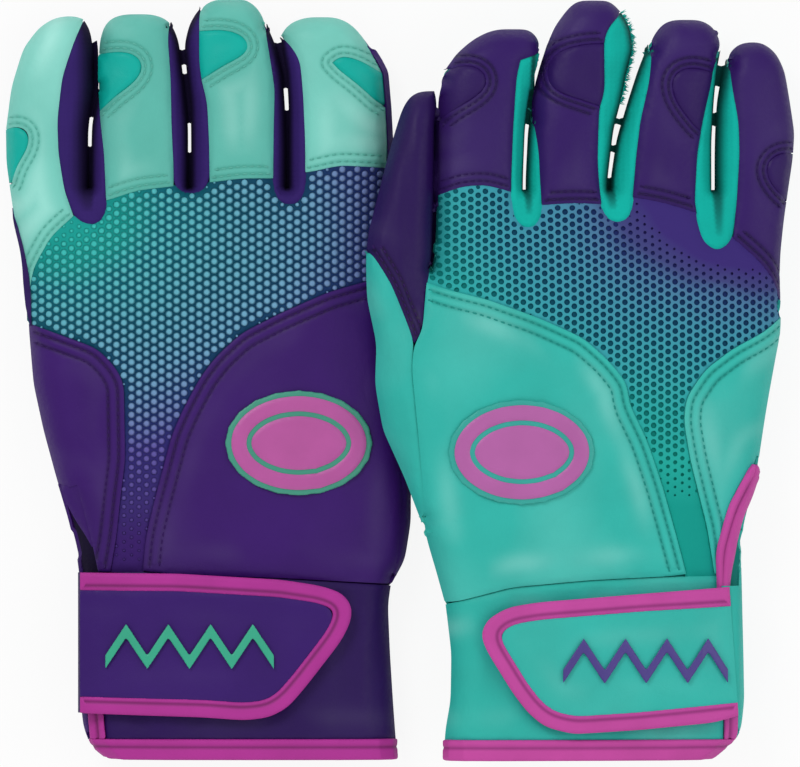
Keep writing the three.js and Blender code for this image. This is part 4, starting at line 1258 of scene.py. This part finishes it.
# Painted shade: the darker dusk leather stands for the palm's violet in shadow.
cloth(shade_painted_palm_edge, 0.0006, LEATHERS["dusk"], "gloves")

# Cuff
# The wrist is a sleeve of soft stretch cloth faced with thin leather, wrinkled where the strap draws it in.
CUFF = {
    "left": leather("deep_violet_cuff_cloth", "#270653", "#270653"),
    "right": leather("sea_green_cuff_cloth", "#2CB2A6", "#2CB2A6"),
}
for hand in HANDS:
    panel(
        hand, "cuff_back", CUFF[hand], fold=0.0007, waves=(0.007, 0.02), drop=0.0007,
        roll=0.0014
    )
    panel(hand, "cuff_palm", CUFF[hand], surface=under_palm, fold=0.0005, edge=0.0001)

# Bindings of the hem and the slit
# A folded tape of magenta stretch cloth wraps the cuff's lower edge, and another the edges of the slit at
# the wrist. Both are soft and round over their folds, each pressed in along one line with painted shade in
# it.


def tape(name, code, sewn):
    """Woven stretch tape: close ribs across it and a soft sheen, with painted shade where a seam draws it in.
    """
    material, tree = blank(name)
    place = add(tree, "ShaderNodeTexCoord").outputs["Object"]
    slow = add(tree, "ShaderNodeTexNoise", {"Vector": place, "Scale": 70, "Detail": 3})
    tone = add(tree, "ShaderNodeMapRange", {0: slow.outputs["Fac"], 1: 0.3, 2: 0.7, 3: 0.94, 4: 1.06})
    base = painted_groove_shade(tree, code, sewn)
    shade = add(tree, "ShaderNodeVectorMath", {0: base, 3: tone.outputs[0]}, operation="SCALE")
    ribs = add(tree, "ShaderNodeTexVoronoi", {"Vector": place, "Scale": 2200}, feature="F1")
    bump = add(
        tree, "ShaderNodeBump", {"Height": ribs.outputs["Distance"], "Strength": 0.35, "Distance": 0.0001}
    )
    skin = add(
        tree, "ShaderNodeBsdfPrincipled",
        {"Base Color": shade.outputs[0], "Roughness": 0.6, "IOR": 1.35, "Normal": bump.outputs[0]},
    )
    add(tree, "ShaderNodeOutputMaterial", {"Surface": skin.outputs[0]})
    return material


def softened(
    hand, part, material, voxel=0.0005, rounds=8, body="gloves", line=None, depth=0.0003, move=None
):
    """A copy of a CAD node whose edges and facets are smoothed soft, pressed in along a sewn line, which is
    kept as the 'sewn' attribute for painted shade.
    """
    name = f"{hand}_{part}_soft"
    shell = merged(f"{hand}_{part}")
    mesh = bpy.data.meshes.new(name)
    shell.to_mesh(mesh)
    shell.free()
    piece = bpy.data.objects.new(name, mesh)
    SCENE.collection.objects.link(piece)
    bpy.ops.object.select_all(action="DESELECT")
    piece.select_set(True)
    bpy.context.view_layer.objects.active = piece
    grid = piece.modifiers.new("grid", "REMESH")
    grid.mode = "VOXEL"
    grid.voxel_size = voxel
    bpy.ops.object.modifier_apply(modifier="grid")
    soft = piece.modifiers.new("soft", "SMOOTH")
    soft.factor = 0.5
    soft.iterations = rounds
    bpy.ops.object.modifier_apply(modifier="soft")
    if line:
        places = np.array([v.co for v in piece.data.vertices])
        normals = np.array([v.normal for v in piece.data.vertices])
        drawn = line(places)
        piece.data.vertices.foreach_set(
            "co", (places - normals * (drawn * depth)[:, None]).astype(np.float32).ravel()
        )
        attribute = piece.data.attributes.new("sewn", "FLOAT", "POINT")
        attribute.data.foreach_set("value", drawn.astype(np.float32))
    if move:
        for vert in piece.data.vertices:
            vert.co = move(vert.co)
    finish(piece, 0, material)
    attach(piece, body)
    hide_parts(f"{hand}_{part}")
    return piece


def step_up(value, low, high):
    """0 below low, 1 above high, and an even swing between."""
    share = np.clip((value - low) / (high - low), 0, 1)
    return share * share * (3 - 2 * share)


# The second colour of each tape is the painted shade in its seam line and folds.
TAPE = {
    "left": tape("magenta_stretch_tape", "#B23095", "#7F1E6A"),
    "right": tape("rose_stretch_tape", "#C4479F", "#96307B")
}
HEM_LINE = 0.0017
for hand in HANDS:
    hem_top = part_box(f"{hand}_hem_binding")[1][1]

    # Painted shade: the hem's seam line, pressed in and darkened.
    def hem_line(places):
        return np.exp(-(((hem_top - HEM_LINE - places[:, 1]) / 0.00042) ** 2))

    def reach_up(place):
        return place + Vector((0, 0.0007 * float(step_up(place.y, hem_top - 0.0016, hem_top - 0.0004)), 0))

    softened(
        hand, "hem_binding", TAPE[hand], voxel=0.0004, rounds=12, line=hem_line,
        move=reach_up
    )

    # Painted shade: the fold down the middle of the slit's tape, pressed in and darkened.
    def fold_line(places):
        bins = np.round(places[:, 1] / 0.001).astype(int)
        middle = {b: (places[bins == b, 0].min() + places[bins == b, 0].max()) / 2 for b in set(bins)}
        return np.exp(-(((places[:, 0] - np.array([middle[b] for b in bins])) / 0.0005) ** 2))

    def turned_under(place):
        """The left slit lies round the side of the wrist, where it doesn't show from above."""
        return place + Vector((0.0036, 0, -0.0075)) * float(step_up(place.y, -0.0640, -0.0560))

    def tucked_in(place):
        """The right slit gapes, and under the wide tape of its mouth the seam lies down in the wrist."""
        return place + Vector((-0.0030, 0, -0.0060)) * float(step_up(place.y, -0.0640, -0.0600))

    softened(
        hand, "slit_binding", TAPE[hand], voxel=0.0004, line=fold_line, depth=0.0004,
        move=turned_under if hand == "left" else tucked_in,
    )

# Mouth of the right slit
# On the right glove the slit is pulled open, so its tape lies there twice as wide, folded back on itself
# along one side and standing a little off the leather, with painted shade along the crease of the fold.
MOUTH = (
    (465.8, 755.6, 757.2), (468, 753.5, 760.5), (471, 750.5, 763.4), (475, 747.8, 763.5),
    (480, 744.8, 761.8), (487.5, 740.0, 758.0), (496, 735.4, 754.0), (504, 730.6, 749.9),
    (515, 727.0, 744.2), (525, 724.0, 740.6), (535, 721.4, 737.8), (545, 718.2, 735.2),
    (555, 716.8, 733.4), (565, 717.2, 731.0), (575, 717.8, 729.0), (590, 718.4, 727.4),
)
MOUTH_FOLD = -0.3
MOUTH_LIFT = 0.0005
MOUTH_ARCH = 0.0013
MOUTH_CREASE = 0.0009
rows = [(photo_point(left, y), photo_point(right, y)) for y, left, right in MOUTH]
rows = [[LEVEL["right"].inverted() @ (end + Vector((0, 0, 0.02))) for end in row] for row in rows]
along = np.linspace(0, len(rows) - 1, 61)
left_x, left_y, right_x, right_y = [
    np.interp(along, range(len(rows)), [row[end][axis] for row in rows]) for end in (0, 1) for axis in (0, 1)
]
for _ in range(4):
    for run in (left_x, left_y, right_x, right_y):
        run[1:-1] = (run[:-2] + 2 * run[1:-1] + run[2:]) / 4
verts, faces, painted_crease_shade = [], [], []
shares = np.linspace(-1, 1, 15)
for k in range(len(along)):
    across = (shares + 1) / 2
    xs, ys = left_x[k] + across * (right_x[k] - left_x[k]), left_y[k] + across * (right_y[k] - left_y[k])
    arch = MOUTH_ARCH * np.sqrt(1 - shares**2) - MOUTH_CREASE * np.exp(-(((shares - MOUTH_FOLD) / 0.2) ** 2))
    rise = over_back("right", xs, ys) + arch + MOUTH_LIFT
    verts += [LEVEL["right"] @ Vector((x, y, z)) for x, y, z in zip(xs, ys, rise)]
    # Painted shade along the crease of the fold, kept as the 'sewn' attribute that the tape darkens.
    painted_crease_shade += list(1.4 * np.exp(-(((shares - MOUTH_FOLD) / 0.26) ** 2)) * np.clip((k - 12) / 8, 0, 1))
    if k:
        first = len(verts) - 30
        faces += [(first + c, first + c + 1, first + c + 16, first + c + 15) for c in range(14)]
mesh = bpy.data.meshes.new("right_slit_mouth")
mesh.from_pydata(verts, [], faces)
mouth = bpy.data.objects.new(mesh.name, mesh)
SCENE.collection.objects.link(mouth)
line = mesh.attributes.new("sewn", "FLOAT", "POINT")
line.data.foreach_set("value", np.array(painted_crease_shade, np.float32))
finish(mouth, 0.0007, TAPE["right"])
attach(mouth, "gloves")

# Facing of the left slit
# On the left glove the slit's upper end is faced with a narrow tongue of the violet leather, so only its
# lower half shows the dark lining.
TONGUE = ((-0.0968, -0.0290), (-0.0900, -0.0290), (-0.0894, -0.0358), (-0.0886, -0.0401), (-0.0876, -0.0444),
          (-0.0869, -0.0474), (-0.0878, -0.0477), (-0.0886, -0.0462), (-0.0900, -0.0438), (-0.0915, -0.0417),
          (-0.0929, -0.0394), (-0.0941, -0.0372), (-0.0954, -0.0347), (-0.0963, -0.0318))
tongue_loop = rounded([Vector(p) for p in TONGUE], 0.0008, rounds=3)


def tongue_height(x, y):
    return over_back("left", x, y, -0.0004) - rolled(
        nearest(outline_tree([tongue_loop]), x, y), 0.0005, 0.001
    )


tongue = shape_mesh("left_slit_facing", "left", [tongue_loop], 0.0009, tongue_height)
cloth(tongue, 0.0006, LEATHERS["violet"], "gloves")

# Back badges
# A soft moulded badge is welded on the back of each hand: a rim, and on it an oval ring round a plain
# oval, both a little raised, with rounded edges.


def rubber(name, code, rough=0.42):
    """Moulded thermoplastic rubber: a satin face with a very fine spark-eroded grain."""
    material, tree = blank(name)
    place = add(tree, "ShaderNodeTexCoord").outputs["Object"]
    slow = add(tree, "ShaderNodeTexNoise", {"Vector": place, "Scale": 90, "Detail": 3})
    tone = add(tree, "ShaderNodeMapRange", {0: slow.outputs["Fac"], 1: 0.3, 2: 0.7, 3: 0.95, 4: 1.05})
    shade = add(tree, "ShaderNodeVectorMath", {0: linear(code)[:3], 3: tone.outputs[0]}, operation="SCALE")
    grain = add(tree, "ShaderNodeTexNoise", {"Vector": place, "Scale": 3000, "Detail": 2})
    bump = add(
        tree, "ShaderNodeBump", {"Height": grain.outputs["Fac"], "Strength": 0.2, "Distance": 0.00005}
    )
    skin = add(
        tree, "ShaderNodeBsdfPrincipled",
        {"Base Color": shade.outputs[0], "Roughness": rough, "IOR": 1.45, "Normal": bump.outputs[0]},
    )
    add(tree, "ShaderNodeOutputMaterial", {"Surface": skin.outputs[0]})
    return material


def inset(loop, amount):
    """A smooth closed outline moved inward by an even amount."""
    turn = math.copysign(1, sum(a.x * b.y - b.x * a.y for a, b in zip(loop, loop[1:] + loop[:1])))
    moved = []
    for k, point in enumerate(loop):
        along = (loop[(k + 3) % len(loop)] - loop[k - 3]).normalized()
        moved.append(point + Vector((-along.y, along.x)) * turn * amount)
    return moved


BADGE_RIM = {
    "left": rubber("green_badge_rubber", "#3F967F"), "right": rubber("sea_green_badge_rubber", "#2FA79C")
}
BADGE_FACE = {
    "left": rubber("magenta_badge_rubber", "#B9559F"), "right": rubber("rose_badge_rubber", "#B560A6")
}
BADGE_STEPS = (0.0015, 0.0058, 0.0072)
for hand in HANDS:
    softened(hand, "back_patch", BADGE_RIM[hand], voxel=0.0004, rounds=5)
    relief = Relief(hand, ["back_patch"], 1)
    plan = outline(hand, "back_patch")[0]
    outer, hole, middle = (inset(plan, amount) for amount in BADGE_STEPS)
    for name, loops in (("badge_ring", [outer, hole]), ("badge_middle", [middle])):
        rims = outline_tree(loops)

        def badge_height(x, y):
            return relief.at(x, y) + 0.00055 - rolled(nearest(rims, x, y), 0.0004, 0.0009)

        piece = shape_mesh(f"{hand}_{name}", hand, loops, 0.0008, badge_height)
        finish(piece, 0.0006, BADGE_FACE[hand])
        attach(piece, "gloves")

# Wrist straps
# A flat padded strap closes the wrist. It is moulded with a smooth face and bound all round its free edges
# with the magenta tape, and it peels open about its sewn root, where the cloth bends.
STRAP_FACE = {
    "left": leather("violet_strap_face", "#36126A", "#36126A", grain_mm=0.3),
    "right": leather("sea_green_strap_face", "#32B8AC", "#32B8AC", grain_mm=0.3),
}
ROOT_TRIM = {"left": 0.0007, "right": 0.0018}


def over_strap(hand, x, y, lift=0.0):
    return STRAP[hand].at(x, y) + lift


def bend_at_root(piece):
    """Bakes the strap piece's placement into its mesh."""
    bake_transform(piece)


for hand in HANDS:
    root = max((p.x for p in outline(hand, "strap")[0]), key=lambda x: x * (1 if hand == "right" else -1))
    limit = root + ROOT_TRIM[hand] if hand == "left" else root - ROOT_TRIM[hand]

    def end_at(y):
        """Where the strap's face ends at its root: square on the left glove, slanted on the right."""
        return limit if hand == "left" else limit - 0.0027 * float(np.clip((y + 0.0942) / 0.0356, 0, 1))

    def cut_back(point):
        return Vector(((max if hand == "left" else min)(point.x, end_at(point.y)), point.y))

    face, loops, _ = panel(hand, "strap", STRAP_FACE[hand], surface=over_strap, body=None,
                           lift=-0.0002, fold=0.0001, drop=0.0004, roll=0.0009, wall=0.0012, trim=cut_back,
                           painted_highlight=0.3)
    edge, loops, _ = panel(hand, "strap_binding", TAPE[hand], surface=over_strap,
                           body=None, fold=0.0001, drop=0.0007, roll=0.0012, spacing=0.0008,
                           rows=(("strap", (0.0014,)),), wall=0.0012, trim=cut_back, growth=0.0002,
                           painted_highlight=0)
    bend_at_root(face)
    bend_at_root(edge)
    ends = [p for p in loops[0] if abs(p.x - end_at(p.y)) < 1e-5]
    low_y, high_y = min(p.y for p in ends), max(p.y for p in ends)
    inner = limit + (0.003 if hand == "left" else -0.0048)
    corners = [
        Vector((root, low_y)), Vector((inner, low_y)), Vector((inner, high_y)), Vector((root, high_y))
    ]

    def anchor_height(x, y):
        away = np.abs(x - root)
        return STRAP[hand].at(x, y) - 0.0009 - 0.004 * (
            1 - np.sqrt(1 - (1 - np.clip(away / 0.003, 0, 1)) ** 2)
        )

    strip = shape_mesh(
        f"{hand}_strap_anchor", hand, [rounded(corners, 0.0008, rounds=2)], 0.0008, anchor_height
    )
    cloth(strip, 0.001, CUFF[hand], "gloves")

# Strap motifs
# A zigzag of soft rubber is welded on each strap.
MOTIF = {"left": rubber("green_motif_rubber", "#33AB89"), "right": rubber("violet_motif_rubber", "#4A3A88")}
for hand in HANDS:
    softened(
        hand, "strap_motif", MOTIF[hand], voxel=0.0003, rounds=3, body=f"{hand}_strap_flap",
    )

# Hook and loop pads
# Under the strap a pad of stiff nylon hooks meets a pad of brushed nylon loops on the cuff.


def nylon(name, code, bump_mm, height_mm, rough):
    """Hook or loop tape: close nylon tufts in even rows over a dyed backing."""
    material, tree = blank(name)
    place = add(tree, "ShaderNodeTexCoord").outputs["Object"]
    tufts = add(tree, "ShaderNodeTexVoronoi", {"Vector": place, "Scale": 1000 / bump_mm, "Randomness": 0.35})
    tone = add(tree, "ShaderNodeMapRange", {0: tufts.outputs["Distance"], 1: 0.1, 2: 0.6, 3: 1.15, 4: 0.7})
    shade = add(tree, "ShaderNodeVectorMath", {0: linear(code)[:3], 3: tone.outputs[0]}, operation="SCALE")
    bump = add(
        tree, "ShaderNodeBump",
        {"Height": tufts.outputs["Distance"], "Strength": 0.8, "Distance": height_mm / 1000}, invert=True,
    )
    skin = add(
        tree, "ShaderNodeBsdfPrincipled",
        {"Base Color": shade.outputs[0], "Roughness": rough, "Sheen Weight": 0.3, "Normal": bump.outputs[0]},
    )
    add(tree, "ShaderNodeOutputMaterial", {"Surface": skin.outputs[0]})
    return material


HOOKS = {
    "left": nylon("violet_hook_tape", "#3E276E", 1.1, 0.5, 0.4),
    "right": nylon("sea_green_hook_tape", "#2FA79C", 1.1, 0.5, 0.4)
}
LOOPS = {
    "left": nylon("violet_loop_tape", "#2E1854", 0.6, 0.3, 0.9),
    "right": nylon("sea_green_loop_tape", "#2C9F95", 0.6, 0.3, 0.9)
}
for hand in HANDS:
    softened(hand, "loop_pad", LOOPS[hand], voxel=0.0003, rounds=3)
    softened(
        hand, "hook_pad", HOOKS[hand], voxel=0.0003, rounds=3, body=f"{hand}_strap_flap"
    )

low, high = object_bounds()
